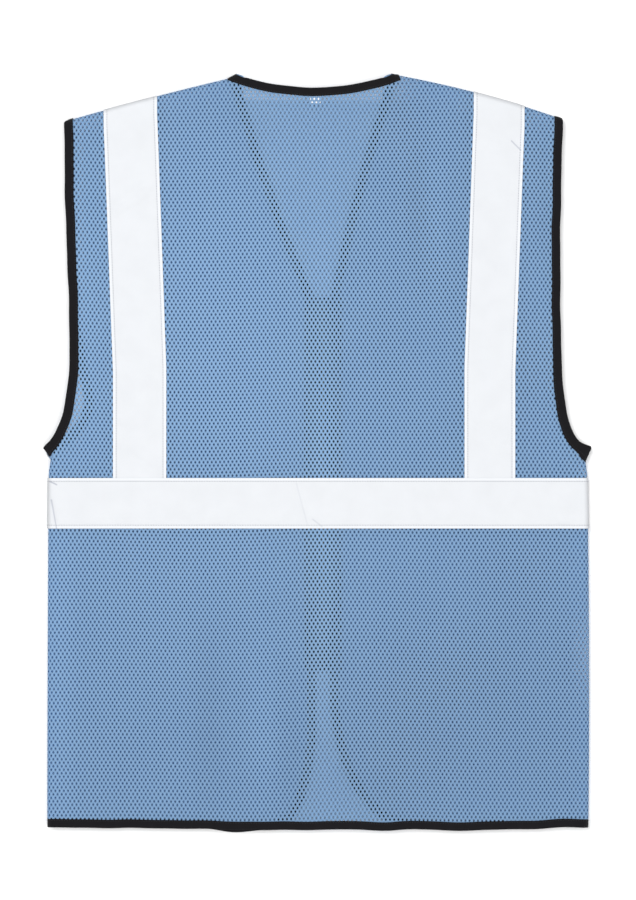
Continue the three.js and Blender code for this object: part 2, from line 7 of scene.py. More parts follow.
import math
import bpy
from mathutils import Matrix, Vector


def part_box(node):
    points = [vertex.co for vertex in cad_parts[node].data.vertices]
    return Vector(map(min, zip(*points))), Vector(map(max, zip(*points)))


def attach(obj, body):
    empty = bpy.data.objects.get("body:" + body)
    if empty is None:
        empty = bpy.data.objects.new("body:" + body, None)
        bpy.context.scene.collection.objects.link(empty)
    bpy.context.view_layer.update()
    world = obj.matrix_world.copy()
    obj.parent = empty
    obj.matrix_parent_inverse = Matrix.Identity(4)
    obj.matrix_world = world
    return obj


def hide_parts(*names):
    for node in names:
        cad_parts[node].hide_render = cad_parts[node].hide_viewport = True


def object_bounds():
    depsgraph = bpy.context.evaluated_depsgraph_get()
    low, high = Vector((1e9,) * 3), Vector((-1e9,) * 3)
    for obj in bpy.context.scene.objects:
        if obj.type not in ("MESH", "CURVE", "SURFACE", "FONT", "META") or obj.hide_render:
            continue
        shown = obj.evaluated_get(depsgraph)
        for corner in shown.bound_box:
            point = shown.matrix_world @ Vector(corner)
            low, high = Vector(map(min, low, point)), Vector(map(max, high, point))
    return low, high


bl_info = {
    "name": "Mesh vest",
    "version": (1, 0, 0),
    "blender": (4, 5, 0),
    "location": "View3D > Sidebar > Vest",
    "description": "Builds a flat-laid mesh work vest with reflective tapes, binding, a zip and its stitching",
    "category": "Object",
}

import bpy
import numpy as np
from mathutils import Vector

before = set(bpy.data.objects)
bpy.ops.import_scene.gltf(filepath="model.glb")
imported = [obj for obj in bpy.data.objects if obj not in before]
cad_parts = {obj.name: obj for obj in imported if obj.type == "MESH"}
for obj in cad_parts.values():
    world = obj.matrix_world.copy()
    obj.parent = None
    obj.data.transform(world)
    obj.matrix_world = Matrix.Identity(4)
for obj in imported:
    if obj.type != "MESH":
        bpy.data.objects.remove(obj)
CAD_BOX = [list(corner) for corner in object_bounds()]

MM = 0.001


def length(name, text, value):
    """A size in millimetres as a property in metres."""
    return bpy.props.FloatProperty(name=name, description=text, default=value * MM, unit="LENGTH", precision=4)


def share(name, text, value):
    return bpy.props.FloatProperty(name=name, description=text, default=value, subtype="FACTOR")


def colour(name, text, value):
    return bpy.props.FloatVectorProperty(
        name=name, description=text, default=value, size=3, subtype="COLOR", min=0, max=1
    )


class VestBody(bpy.types.PropertyGroup):
    """Sizes of the vest's outline, as in the solids"""

    body_length: length("Length", "From the hem to the neck corners", 739)
    hem_width: length("Hem width", "Width along the hem", 532)
    chest_width: length("Chest width", "Width at the underarm", 529)
    underarm: length("Underarm height", "Height of the underarm above the hem", 363)
    armhole_inset: length("Armhole inset", "How far the armhole cuts in", 23)
    shoulder_drop: length("Shoulder drop", "How far the shoulder tips lie below the neck corners", 44.5)
    shoulder_lean: length("Shoulder lean", "How far the shoulders lie off to one side", 5.3)
    underarm_ease: length("Underarm ease", "Length over which the side fold opens into the armhole", 15)
    neck_width: length("Neck width", "Between the neck corners", 149)
    neck_shift: length("Neck shift", "Middle of the neck from the middle of the hem", -3.7)
    neck_drop: length("Neck drop", "Depth of the back of the neck", 12.5)
    neck_ease: length("Neck ease", "Length over which the shoulder fold opens into the neck", 10)
    v_depth: length("V depth", "Depth of the V of the front", 221)
    zip_gap: length("Zip gap", "Between the fronts", 14)
    zip_shift: length("Zip shift", "Middle of the zip from the middle of the hem", 5.1)
    zip_end: length("Zip end", "Height of the zip's lower end above the hem", 154)
    fold_radius: length("Fold radius", "Radius of the fold along the sides and shoulders", 4.5)
    sag: length("Sag", "How far the back sinks towards the fronts in its middle", 2.6)
    fold_height: length("Fold height", "Height of the largest soft fold", 2)
    hem_dip: length("Hem dip", "How far the front's hem hangs below the back's", 3)


class VestTrim(bpy.types.PropertyGroup):
    """Sizes of the binding, the tapes, the zip and the stitching"""

    binding_width: length("Binding width", "Width of the binding seen from above", 8.4)
    binding_wall: length("Binding wall", "Thickness of the binding", 0.5)
    tape_height: length("Waist tape height", "Lower edge of the waist tape above the hem", 294)
    tape_width: length("Waist tape width", "Width of the waist tape", 49.5)
    tape_wall: length("Tape wall", "Thickness of the tapes", 0.35)
    tape_top_spacing: length("Tape spacing at the shoulders", "Between the shoulder tapes' middles", 361.4)
    tape_low_spacing: length("Tape spacing at the waist", "Between the shoulder tapes' middles", 343.5)
    tape_shift: length("Tape shift", "Middle of the tapes from the middle of the hem", -3)
    seam_inset: length("Seam inset", "Stitching from the edge of a tape", 3.3)
    stitch_pitch: length("Stitch pitch", "From one stitch to the next", 2.5)
    stitch_width: length("Stitch width", "Width of the thread", 0.55)


class VestMesh(bpy.types.PropertyGroup):
    """Sizes of the holes in the mesh cloth"""

    pitch: length("Hole pitch", "From one hole to the next in a row", 4.09)
    row_pitch: length("Row pitch", "From one row of holes to the next", 3.44)
    hole_width: share("Hole width", "Width of a hole as a share of its cell", 0.55)
    hole_height: share("Hole height", "Height of a hole over its width, as shares of its cell", 0.77)
    wander: length("Wander", "How far the rows wander from straight lines", 1.6)


class VestColours(bpy.types.PropertyGroup):
    """Colours of the cloths and trims"""

    cloth: colour("Mesh cloth", "Blue of the mesh", (0.182, 0.306, 0.478))
    binding: colour("Binding", "Black of the binding", (0.0062, 0.0057, 0.0072))
    tape: colour("Tape", "Silver of the reflective tape", (0.6, 0.616, 0.641))
    # The thread is painted darker than its own pale colour, which also gives the painted shade of its needle holes
    thread: colour("Thread", "Thread of the tapes", (0.27, 0.285, 0.34))
    # Dark slate: the zip tape's own dark colour, with the blue cast of the shade seen through the holes over it
    # painted in
    zip: colour("Zip tape", "Tape of the zip", (0.016, 0.03, 0.052))
    label: colour("Label", "Neck label", (0.85, 0.85, 0.85))
    floor: colour("Floor", "Floor under the vest", (0.96, 0.96, 0.96))


SIDES = {
    "left": {
        "sign": -1,
        "tape_width": 52.4 * MM,
        "shoulder_bow": 1.2 * MM,
        "shoulder_low": 2.3 * MM,
        "neck_bow": 5 * MM,
        "slip": 18 * MM,
        "binding_spread": (1.06, 1.1),
        "flare_out": 0,
        "inset_share": 1.055,
        "side_bow": 0.3 * MM,
        "binding_end": 11 * MM,
        "binding_run_on": 1.6 * MM,
        "tip_round": 4.5 * MM,
        "corner_width": 37 * MM,
        "corner_height": 106 * MM,
    },
    "right": {
        "sign": 1,
        "tape_width": 49.8 * MM,
        "shoulder_bow": 3.8 * MM,
        "shoulder_low": 0,
        "neck_bow": -4 * MM,
        "slip": 0,
        "binding_spread": (1.0, 1.14),
        "flare_out": 4.2 * MM,
        "inset_share": 1,
        "side_bow": 1.5 * MM,
        "binding_end": 9 * MM,
        "binding_run_on": 6.5 * MM,
        "tip_round": 0.5 * MM,
        "corner_width": 78 * MM,
        "corner_height": 135 * MM,
    },
}

# Armhole, by height as a share of its depth: inset is a share of the armhole's inset, lean of the shoulder's
ARMHOLE = {
    "up": [0.0, 0.012, 0.03, 0.053, 0.083, 0.142, 0.26, 0.39, 0.62, 0.76, 1.0],
    "inset": [0.08, -0.1, -0.13, 0.23, 0.49, 0.77, 0.96, 1.0, 0.96, 0.91, 0.85],
    "lean": [0.0, 0.1, 0.45, 0.7, 0.72, 0.63, 0.54, 0.63, 0.9, 1.0, 0.9],
}

# Slip of the front armhole inside the back one, as a share of each side's slip
SLIP = {"up": [0.03, 0.09, 0.16, 0.26, 0.4], "slip": [0.0, 0.8, 1.0, 0.5, 0.0]}

# Soft folds of the back: place, length, width and height as shares of the vest's sizes, and degrees from upright
FOLDS = [
    {"across": -0.4, "up": 0.15, "length": 0.15, "width": 0.035, "height": -0.6, "turn": 0},
    {"across": -0.2, "up": 0.22, "length": 0.2, "width": 0.04, "height": 1.0, "turn": 2},
    {"across": -0.07, "up": 0.17, "length": 0.16, "width": 0.035, "height": -0.5, "turn": 0},
    {"across": -0.2, "up": 0.63, "length": 0.1, "width": 0.04, "height": 0.6, "turn": 0},
    {"across": 0.44, "up": 0.82, "length": 0.11, "width": 0.035, "height": 1.0, "turn": 14},
    {"across": 0.33, "up": 0.83, "length": 0.1, "width": 0.03, "height": -0.5, "turn": 16},
    {"across": 0.3, "up": 0.14, "length": 0.16, "width": 0.05, "height": 0.6, "turn": 0},
    {"across": 0.0, "up": 0.8, "length": 0.12, "width": 0.08, "height": 0.6, "turn": 0},
]

# Patches of painted light and shade on the back, lighter and darker: middle and reach in millimetres, and how much
# lighter each is painted
PAINTED_LIGHT_PATCHES = [
    {"at": (-130, 480), "reach": (170, 210), "amount": 0.12},
    {"at": (230, 90), "reach": (210, 200), "amount": -0.085},
    {"at": (-70, 20), "reach": (220, 110), "amount": -0.055},
    {"at": (-107, 110), "reach": (15, 90), "amount": -0.06},
    {"at": (-55, 90), "reach": (15, 70), "amount": 0.06},
    {"at": (-25, 75), "reach": (12, 70), "amount": -0.03},
    {"at": (-252, 180), "reach": (14, 240), "amount": 0.05},
    {"at": (95, 610), "reach": (9, 55), "amount": -0.05},
    {"at": (118, 605), "reach": (9, 70), "amount": 0.05},
    {"at": (222, 625), "reach": (7, 70), "amount": -0.05},
    {"at": (0, 735), "reach": (260, 45), "amount": -0.05},
    {"at": (5, 320), "reach": (14, 200), "amount": 0.13},
    {"at": (-228, 470), "reach": (12, 110), "amount": 0.04},
]

# Sway of the hem in millimetres, by place as a share of half its width
HEM = {
    "across": [-1.0, -0.7, -0.5, -0.25, 0.0, 0.1, 0.25, 0.36, 0.5, 0.6, 0.7, 0.8, 0.92, 1.0],
    "sway": [0.9, 0.4, -0.1, -1.6, -1.3, -1.0, -2.0, -0.9, -2.0, -1.9, -0.8, -0.5, 1.1, 0.8],
}

# Creases in the tapes: two ends in flat measures, in millimetres, the depth, the width, and for the sharp ones how
# strong their painted shade is
TAPE_CREASES = [
    {"from": (-261, 322), "to": (-256, 294), "depth": -0.8, "width": 1.5, "shade": 0.5},
    {"from": (-262, 340), "to": (-256, 337), "depth": -0.7, "width": 1.3, "shade": 0.6},
    {"from": (-21, 338), "to": (-10, 297), "depth": -0.55, "width": 1.8, "shade": 0.13},
    {"from": (-5, 303), "to": (4, 296), "depth": -0.5, "width": 1.6, "shade": 0.26},
    {"from": (190, 674), "to": (199, 665), "depth": -0.7, "width": 1.6, "shade": 0.5},
    {"from": (162, 683), "to": (172, 678), "depth": 0.6, "width": 4},
    {"from": (-201, 603), "to": (-167, 625), "depth": 0.7, "width": 4},
    {"from": (-200, 610), "to": (-172, 632), "depth": -0.5, "width": 3},
    {"from": (-164, 440), "to": (-150, 410), "depth": -0.5, "width": 3},
    {"from": (-190, 400), "to": (-165, 425), "depth": 0.5, "width": 4},
    {"from": (-203, 480), "to": (-168, 455), "depth": 0.4, "width": 5},
    {"from": (-195, 372), "to": (-160, 352), "depth": -0.4, "width": 3},
    {"from": (150, 560), "to": (196, 530), "depth": 0.4, "width": 6},
    {"from": (155, 395), "to": (190, 370), "depth": -0.45, "width": 3},
    {"from": (80, 336), "to": (96, 300), "depth": 0.4, "width": 5},
    {"from": (-120, 336), "to": (-100, 300), "depth": 0.4, "width": 6},
    {"from": (225, 338), "to": (240, 298), "depth": 0.5, "width": 6},
]

POCKETS = {
    "left": {"inner": 66 * MM, "width": 65 * MM, "top": 94 * MM, "drop": 15 * MM},
    "right": {"inner": 74 * MM, "width": 55 * MM, "top": 99 * MM, "drop": 0},
}

# Distances of the layers from the middle of the cloth, and where the cloth wraps round a fold
SEAM_WRAP = 6 * MM
STACK = 0.28 * MM
EDGE_INSET = 1.3 * MM


def settings():
    scene = bpy.context.scene
    return scene.vest_body, scene.vest_trim, scene.vest_mesh, scene.vest_colours


def middle_of(node, axis):
    low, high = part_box(node)
    return (low[axis] + high[axis]) / 2


def to_frame(points):
    """Points in the vest's flat measures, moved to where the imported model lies."""
    body = settings()[0]
    shift = np.array(
        [
            middle_of("front_zip", 0) - body.zip_shift,
            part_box("hem_binding_back")[0][1],
            middle_of("front_zip", 2) + 4.5 * MM,
        ]
    )
    return np.asarray(points, dtype=float) + shift


def mix(a, b, t):
    return a + (b - a) * t


def ease(t):
    t = np.clip(t, 0, 1)
    return t * t * (3 - 2 * t)


def smooth_curve(places, values, at):
    """A smooth curve through the rows of a table."""
    places = np.asarray(places, dtype=float)
    values = np.asarray(values, dtype=float)
    last = len(places) - 1
    at = np.clip(at, places[0], places[-1])
    i = np.clip(np.searchsorted(places, at, side="right") - 1, 0, last - 1)
    before = np.maximum(np.arange(last + 1) - 1, 0)
    after = np.minimum(np.arange(last + 1) + 1, last)
    slopes = (values[after] - values[before]) / (places[after] - places[before])
    span = places[i + 1] - places[i]
    t = (at - places[i]) / span
    rise = t * t * (3 - 2 * t)
    lift = span * t * (1 - t) * ((1 - t) * slopes[i] - t * slopes[i + 1])
    return mix(values[i], values[i + 1], rise) + lift


class Pattern:
    """The cut of the vest: its outlines, folds and heights, in flat measures."""

    def __init__(self):
        self.body, self.trim, self.mesh, _ = settings()
        body = self.body
        self.radius = body.fold_radius
        self.quarter = math.pi / 2 * self.radius
        self.extra = self.quarter - self.radius
        self.tip_height = body.body_length - body.shoulder_drop
        self.armhole_depth = self.tip_height - body.underarm
        self.v_bottom = body.body_length - body.v_depth
        self.tape_top = self.trim.tape_height + self.trim.tape_width
        self.step = MM

    def share_up(self, y):
        return (y - self.body.underarm) / self.armhole_depth

    def side_fold(self, y):
        return np.clip(1 - (y - self.body.underarm) / self.body.underarm_ease, 0, 1) ** 2

    def shoulder_fold(self, x):
        inside = self.body.neck_width / 2 - np.abs(x - self.body.neck_shift)
        return np.clip(1 - inside / self.body.neck_ease, 0, 1) ** 2

    def side_outline(self, side, y):
        body = self.body
        y = np.asarray(y, dtype=float)
        depth = body.armhole_inset * side["inset_share"]
        low_inset = ARMHOLE["inset"][0] * depth
        low_inset = low_inset * np.maximum(0, 1 - (body.underarm - y) / body.underarm_ease)
        down = y / body.underarm
        low_inset = low_inset - side["side_bow"] * 4 * down * (1 - down)
        low = side["sign"] * (mix(body.hem_width, body.chest_width, down) / 2 - low_inset)
        up = self.share_up(y)
        inset = smooth_curve(ARMHOLE["up"], ARMHOLE["inset"], up) * depth
        lean = smooth_curve(ARMHOLE["up"], ARMHOLE["lean"], up) * body.shoulder_lean
        high = side["sign"] * (body.chest_width / 2 - inset) - lean
        return np.where(y <= body.underarm, low, high)

    def slope(self, curve, at):
        return (curve(at + self.step) - curve(at - self.step)) / (2 * self.step)

    def slant(self, curve, at):
        return np.minimum(np.hypot(1, self.slope(curve, at)), 1.5)

    def slip(self, side, y, front):
        if not front:
            return 0
        return smooth_curve(SLIP["up"], SLIP["slip"], self.share_up(y)) * side["slip"]

    def armhole(self, side, y, front):
        """The binding's outer edge along the side and the armhole."""
        return self.side_outline(side, y) - side["sign"] * self.slip(side, y, front)

    def top_outline(self, x):
        body = self.body
        x = np.asarray(x, dtype=float)
        from_middle = np.abs(x - body.neck_shift)
        across = from_middle / (body.neck_width / 2)
        neck = body.body_length - body.neck_drop * (1 - np.minimum(across, 1) ** 2.2)
        left = x < body.neck_shift
        bow = np.where(left, SIDES["left"]["shoulder_bow"], SIDES["right"]["shoulder_bow"])
        tips = [abs(float(self.side_outline(side, self.tip_height)) - body.neck_shift) for side in SIDES.values()]
        run = np.where(left, tips[0], tips[1]) - body.neck_width / 2
        part = (from_middle - body.neck_width / 2) / run
        shoulder = body.body_length - body.shoulder_drop * part + bow * 4 * part * (1 - part)
        low = np.where(left, SIDES["left"]["shoulder_low"], SIDES["right"]["shoulder_low"])
        shoulder -= low * ease((across - 1) / 0.12)
        return np.where(from_middle < body.neck_width / 2, neck, shoulder)

    def zip_side(self, side):
        return self.body.zip_shift + side["sign"] * self.body.zip_gap / 2

    def front_outline(self, side, y):
        """The binding's outer edge along the V, the zip and the round lower corner."""
        body = self.body
        y = np.asarray(y, dtype=float)
        part = (y - self.v_bottom) / body.v_depth
        bow = side["sign"] * side["neck_bow"] * 4 * part * (1 - part)
        corner = body.neck_shift + side["sign"] * body.neck_width / 2
        v_edge = mix(self.zip_side(side), corner, part) + bow
        drop = np.clip(1 - y / side["corner_height"], 0, 1)
        low = self.zip_side(side) + side["sign"] * side["corner_width"] * (1 - np.sqrt(1 - drop * drop))
        return np.where(y > self.v_bottom, v_edge, low)

    def tone(self, x, y):
        """Painted light and shade of the back: how much lighter or darker the cloth's colour is painted at each
        place, against its usual tint
        """
        total = np.ones_like(x)
        for patch in PAINTED_LIGHT_PATCHES:
            across = (x / MM - patch["at"][0]) / patch["reach"][0]
            up = (y / MM - patch["at"][1]) / patch["reach"][1]
            total += patch["amount"] * np.exp(-(np.abs(across) ** 2.4) - np.abs(up) ** 2.4)
        return total

    def hem_line(self, x):
        """The hem's sway: places along it as shares of half its width, and how far it lies off a straight line."""
        across = np.asarray(x, dtype=float) / (self.body.hem_width / 2)
        return smooth_curve(HEM["across"], HEM["sway"], across) * MM

    def hem_dip(self, x):
        return self.body.hem_dip * np.exp(-(((x + 81 * MM) / (22 * MM)) ** 2))

    def front_hem(self, side, x):
        inside = side["corner_width"] - side["sign"] * (x - self.body.zip_shift) + self.body.zip_gap / 2
        part = np.clip(inside / side["corner_width"], 0, 1)
        return side["corner_height"] * (1 - np.sqrt(1 - part * part)) - self.hem_dip(x) + self.hem_line(x)

    def tape_middle(self, side, y):
        trim = self.trim
        part = np.clip((self.share_up(y) - 0.26) / (1 - 0.26), 0, 1)
        return trim.tape_shift + side["sign"] * mix(trim.tape_low_spacing, trim.tape_top_spacing, part) / 2

    def folded(self, s, fold):
        """Distance seen from above that a distance s along folded cloth covers."""
        far = np.abs(s)
        curl = self.radius * (1 - np.cos(far / self.radius))
        bent = np.where(far < self.quarter, curl, far - self.quarter + self.radius)
        return mix(s, bent, fold)

    def rise(self, s, fold):
        high = np.sin(np.clip(s / self.radius, -math.pi / 2, math.pi / 2))
        return mix(1.0, high, fold)

    def edge_x(self, side, y, front):
        """The cloth's own edge along the side fold and the armhole."""
        fold = self.side_fold(y)
        flare = np.exp(-(((y - self.body.underarm - 9.5 * MM) / (5 * MM)) ** 2))
        inset = mix(EDGE_INSET, 0.5 * MM, fold) + 4.5 * MM * flare
        return self.armhole(side, y, front) - side["sign"] * inset

    def edge_y(self, x):
        fold = self.shoulder_fold(x)
        return self.top_outline(x) - mix(EDGE_INSET, -1.0 * MM, fold)

    def soft_folds(self, x, y):
        body = self.body
        total = np.zeros_like(x)
        for fold in FOLDS:
            turn = math.radians(fold["turn"])
            dx = x - fold["across"] * body.chest_width / 2
            dy = y - fold["up"] * body.body_length
            along = (dy * math.cos(turn) - dx * math.sin(turn)) / (fold["length"] * body.body_length)
            across = (dx * math.cos(turn) + dy * math.sin(turn)) / (fold["width"] * body.chest_width)
            total += body.fold_height * fold["height"] * np.exp(-along * along - across * across)
        # Faint waves that any cloth has where it lies
        total += 0.35 * MM * np.sin(x / (31 * MM) + 1.7 * np.sin(y / (83 * MM))) * np.sin(y / (57 * MM) + 0.6)
        total += 0.22 * MM * np.sin(x / (17 * MM) - y / (71 * MM) + 2.1)
        return total

    def from_edge(self, x, y):
        """Least distance from the back's outline."""
        sides = [side["sign"] * (self.side_outline(side, y) - x) for side in SIDES.values()]
        return np.minimum(np.minimum(sides[0], sides[1]), np.minimum(self.top_outline(x) - y, y))

    def place(self, x, y, front, lift=0.0):
        """Points and outward normals of the cloth for flat places, lifted from its middle."""
        x = np.asarray(x, dtype=float)
        y = np.asarray(y, dtype=float)

        def at(x, y):
            side_rise = np.ones_like(x)
            out_x = x.copy()
            for side in SIDES.values():
                fold = self.side_fold(y)
                edge = self.edge_x(side, y, front)
                s = side["sign"] * (edge - x) + fold * self.extra
                mine = side["sign"] * (x - self.body.neck_shift) > 0
                out_x = np.where(mine, edge - side["sign"] * self.folded(s, fold), out_x)
                side_rise = np.where(mine, self.rise(s, fold), side_rise)
            fold = self.shoulder_fold(out_x)
            slant = self.slant(self.top_outline, out_x)
            edge = self.edge_y(out_x)
            s = (edge - y) / slant + fold * self.extra
            out_y = edge - self.folded(s, fold) * slant
            top_rise = self.rise(s, fold)
            height = self.radius * side_rise * top_rise
            if front:
                calm = ease(np.minimum(side_rise, top_rise))
                return np.stack([out_x, out_y, -height - 0.45 * MM * calm], axis=-1)
            inside = np.minimum(np.minimum(side_rise, top_rise), 1)
            calm = ease((self.from_edge(out_x, out_y) - 8 * MM) / (45 * MM)) * np.clip(inside, 0, 1)
            height = height - calm * self.body.sag + calm * self.soft_folds(out_x, out_y)
            return np.stack([out_x, out_y, height], axis=-1)

        step = 0.4 * MM
        points = at(x, y)
        across = at(x + step, y) - at(x - step, y)
        upwards = at(x, y + step) - at(x, y - step)
        normals = np.cross(across, upwards) * (-1 if front else 1)
        normals /= np.maximum(np.linalg.norm(normals, axis=-1, keepdims=True), 1e-12)
        return points + normals * lift, normals


def make_object(name, verts, faces, material, smooth=True, flat_uv=None):
    """A finished piece of the vest from points in flat measures."""
    mesh = bpy.data.meshes.new(name)
    mesh.from_pydata(to_frame(verts).tolist(), [], faces)
    mesh.update()
    if flat_uv is not None:
        layer = mesh.uv_layers.new(name="Cloth")
        corners = np.empty(len(mesh.loops), dtype=np.int32)
        mesh.loops.foreach_get("vertex_index", corners)
        layer.uv.foreach_set("vector", np.asarray(flat_uv, dtype=np.float32)[corners].ravel())
    if smooth:
        mesh.shade_smooth()
    mesh.materials.append(material)
    piece = bpy.data.objects.new(name, mesh)
    bpy.context.collection.objects.link(piece)
    return piece


def grid_faces(rows, columns, offset=0, flip=False, closed=False):
    """Quads of a grid of points, closed round its columns if asked."""
    faces = []
    for r in range(rows - 1):
        for c in range(columns if closed else columns - 1):
            a = offset + r * columns + c
            b = offset + r * columns + (c + 1) % columns
            quad = (a, b, b + columns, a + columns)
            faces.append(quad[::-1] if flip else quad)
    return faces


def fix_normals(piece):
    """Turns a closed piece's faces outwards."""
    import bmesh

    work = bmesh.new()
    work.from_mesh(piece.data)
    bmesh.ops.recalc_face_normals(work, faces=work.faces)
    work.to_mesh(piece.data)
    work.free()
    piece.data.update()


class Value:
    """A socket that Python's operators work on, each adding a Math node."""

    def __init__(self, tree, socket):
        self.tree = tree
        self.socket = socket

    def _math(self, operation, *values):
        return self.tree.node("ShaderNodeMath", {"operation": operation}, values)

    def __add__(self, other):
        return self._math("ADD", self, other)

    def __sub__(self, other):
        return self._math("SUBTRACT", self, other)

    def __rsub__(self, other):
        return self._math("SUBTRACT", other, self)

    def __mul__(self, other):
        return self._math("MULTIPLY", self, other)

    def __truediv__(self, other):
        return self._math("DIVIDE", self, other)

    def __rtruediv__(self, other):
        return self._math("DIVIDE", other, self)

    def __pow__(self, other):
        return self._math("POWER", self, other)

    def __neg__(self):
        return self._math("MULTIPLY", self, -1)

    def __mod__(self, other):
        return self._math("FLOORED_MODULO", self, other)

    __radd__ = __add__
    __rmul__ = __mul__

    def sin(self):
        return self._math("SINE", self)

    def cos(self):
        return self._math("COSINE", self)

    def clamp(self):
        return self.tree.node("ShaderNodeClamp", {}, (self, 0.0, 1.0))


class Tree:
    """A node tree with one method that adds any node."""

    def __init__(self, tree):
        self.tree = tree
        tree.nodes.clear()

    def node(self, kind, options=None, values=(), output=0):
        made = self.tree.nodes.new(kind)
        for name, value in (options or {}).items():
            if name == "stops":
                for _ in range(len(value) - 2):
                    made.color_ramp.elements.new(0.5)
                for element, (place, tint) in zip(made.color_ramp.elements, value):
                    element.position = place
                    element.color = tint
            else:
                setattr(made, name, value)
        pairs = values.items() if isinstance(values, dict) else enumerate(values)
        for key, value in pairs:
            if isinstance(value, Value):
                self.tree.links.new(value.socket, made.inputs[key])
            elif value is not None:
                made.inputs[key].default_value = value
        return Value(self, made.outputs[output]) if made.outputs else made

    def mix(self, factor, a, b, blend="MIX"):
        made = self.tree.nodes.new("ShaderNodeMix")
        made.data_type = "RGBA"
        made.blend_type = blend
        for index, value in ((0, factor), (6, a), (7, b)):
            if isinstance(value, Value):
                self.tree.links.new(value.socket, made.inputs[index])
            else:
                made.inputs[index].default_value = value
        return Value(self, made.outputs[2])


def rgba(tint, factor=1.0):
    return (*[min(1.0, channel * factor) for channel in tint], 1.0)


def new_material(name):
    found = bpy.data.materials.get(name)
    if found:
        return found, None
    material = bpy.data.materials.new(name)
    material.use_nodes = True
    return material, Tree(material.node_tree)


def finish_surface(tree, inputs, sheen=0.0, translucent=None):
    """A Principled surface with an output, and light let through where cloth is thin."""
    shader = tree.node("ShaderNodeBsdfPrincipled", {}, inputs)
    shader.socket.node.inputs["Sheen Weight"].default_value = sheen
    shader.socket.node.inputs["Sheen Roughness"].default_value = 0.5
    if translucent:
        through = tree.node("ShaderNodeBsdfTranslucent", {}, {"Color": translucent[1]})
        shader = tree.node("ShaderNodeMixShader", {}, (translucent[0], shader, through))
    tree.node("ShaderNodeOutputMaterial", {}, {"Surface": shader})


def flat_places(tree, unit):
    """Places along and across the cloth, in units, from the piece's own map."""
    uv = tree.node("ShaderNodeUVMap", {"uv_map": "Cloth"})
    along = tree.node("ShaderNodeSeparateXYZ", {}, (uv,), 0)
    across = tree.node("ShaderNodeSeparateXYZ", {}, (uv,), 1)
    return uv, along * (1 / unit), across * (1 / unit)


def mesh_cloth(dense=False):
    """Knitted polyester with rows of holes. The bars between the holes carry a painted highlight and the rims of
    the holes a painted shade.
    """
    material, tree = new_material("mesh_cloth")
    if not tree:
        return material
    _, _, holes, colours = settings()
    uv, u, v = flat_places(tree, MM)
    pitch, row = holes.pitch / MM, holes.row_pitch / MM
    bars = (u * (2 * math.pi / pitch)).cos() * (v * (math.pi / row)).cos()
    bars = 0.5 - bars * 0.5
    ribs = (u * (2 * math.pi / (pitch / 6))).sin()
    loops = (v * (2 * math.pi / (row / 4)) + ribs * 1.2).sin()
    scaled = tree.node("ShaderNodeVectorMath", {"operation": "SCALE"}, {0: uv, "Scale": 1 / MM})
    patches = tree.node("ShaderNodeTexNoise", {}, {"Vector": scaled, "Scale": 0.018, "Detail": 3.0})
    yarn = tree.node("ShaderNodeTexNoise", {}, {"Vector": scaled, "Scale": 1.7, "Detail": 2.0})
    # Painted shade at the holes' rims and painted highlight on the bars between them, mixed with the yarn's own
    # uneven colour
    dark = rgba(colours.cloth, 0.74)
    light = rgba(colours.cloth, 1.42)
    tint = tree.mix((bars * 0.8 + ribs * 0.05 + yarn * 0.15).clamp(), dark, light)
    tint = tree.mix((patches * 1.2 - 0.4).clamp(), tint, rgba((0.94, 0.95, 0.97)), "MULTIPLY")
    # The back's painted light and shade, from its own attribute, scales the colour
    tone = tree.node("ShaderNodeAttribute", {"attribute_name": "tone"}, (), "Fac")
    tint = tree.node("ShaderNodeVectorMath", {"operation": "SCALE"}, {0: tint, "Scale": tone})
    height = ribs * 0.35 + loops * 0.35 + bars * 0.6
    bump = tree.node("ShaderNodeBump", {}, {"Strength": 0.35, "Distance": 0.0003, "Height": height})
    rough = 0.78 + yarn * 0.12
    inputs = {"Base Color": tint, "Roughness": rough, "Normal": bump, "Specular IOR Level": 0.25}
    finish_surface(tree, inputs, 0.15, (0.2, (0.045, 0.23, 0.55, 1)))
    return material


def woven(name, tint, thread, rough, sheen, contrast, specular=0.3):
    """Woven cloth with crossing threads, on the piece's own map."""
    material, tree = new_material(name)
    if not tree:
        return material
    uv, u, v = flat_places(tree, thread)
    warp = (u * math.pi * 2 + v * math.pi).sin()
    weft = (v * math.pi * 2).sin()
    weave = warp * 0.5 + weft * 0.35
    scaled = tree.node("ShaderNodeVectorMath", {"operation": "SCALE"}, {0: uv, "Scale": 1 / MM})
    # Random lighter and darker clouds: painted sheen and shade of the cloth
    sheen_and_shade_clouds = tree.node("ShaderNodeTexNoise", {}, {"Vector": scaled, "Scale": 0.12, "Detail": 4.0})
    lint = tree.node("ShaderNodeTexNoise", {}, {"Vector": scaled, "Scale": 2.4, "Detail": 2.0})
    shade = (0.5 + weave * 0.3 + (sheen_and_shade_clouds - 0.5) * 0.8 + (lint - 0.5) * 0.5).clamp()
    mixed = tree.mix(shade, rgba(tint, 1 - contrast), rgba(tint, 1 + contrast))
    bump = tree.node("ShaderNodeBump", {}, {"Strength": 0.4, "Distance": 0.0002, "Height": weave + lint})
    inputs = {"Base Color": mixed, "Roughness": rough + lint * 0.1, "Normal": bump}
    inputs["Specular IOR Level"] = specular
    finish_surface(tree, inputs, sheen)
    return material


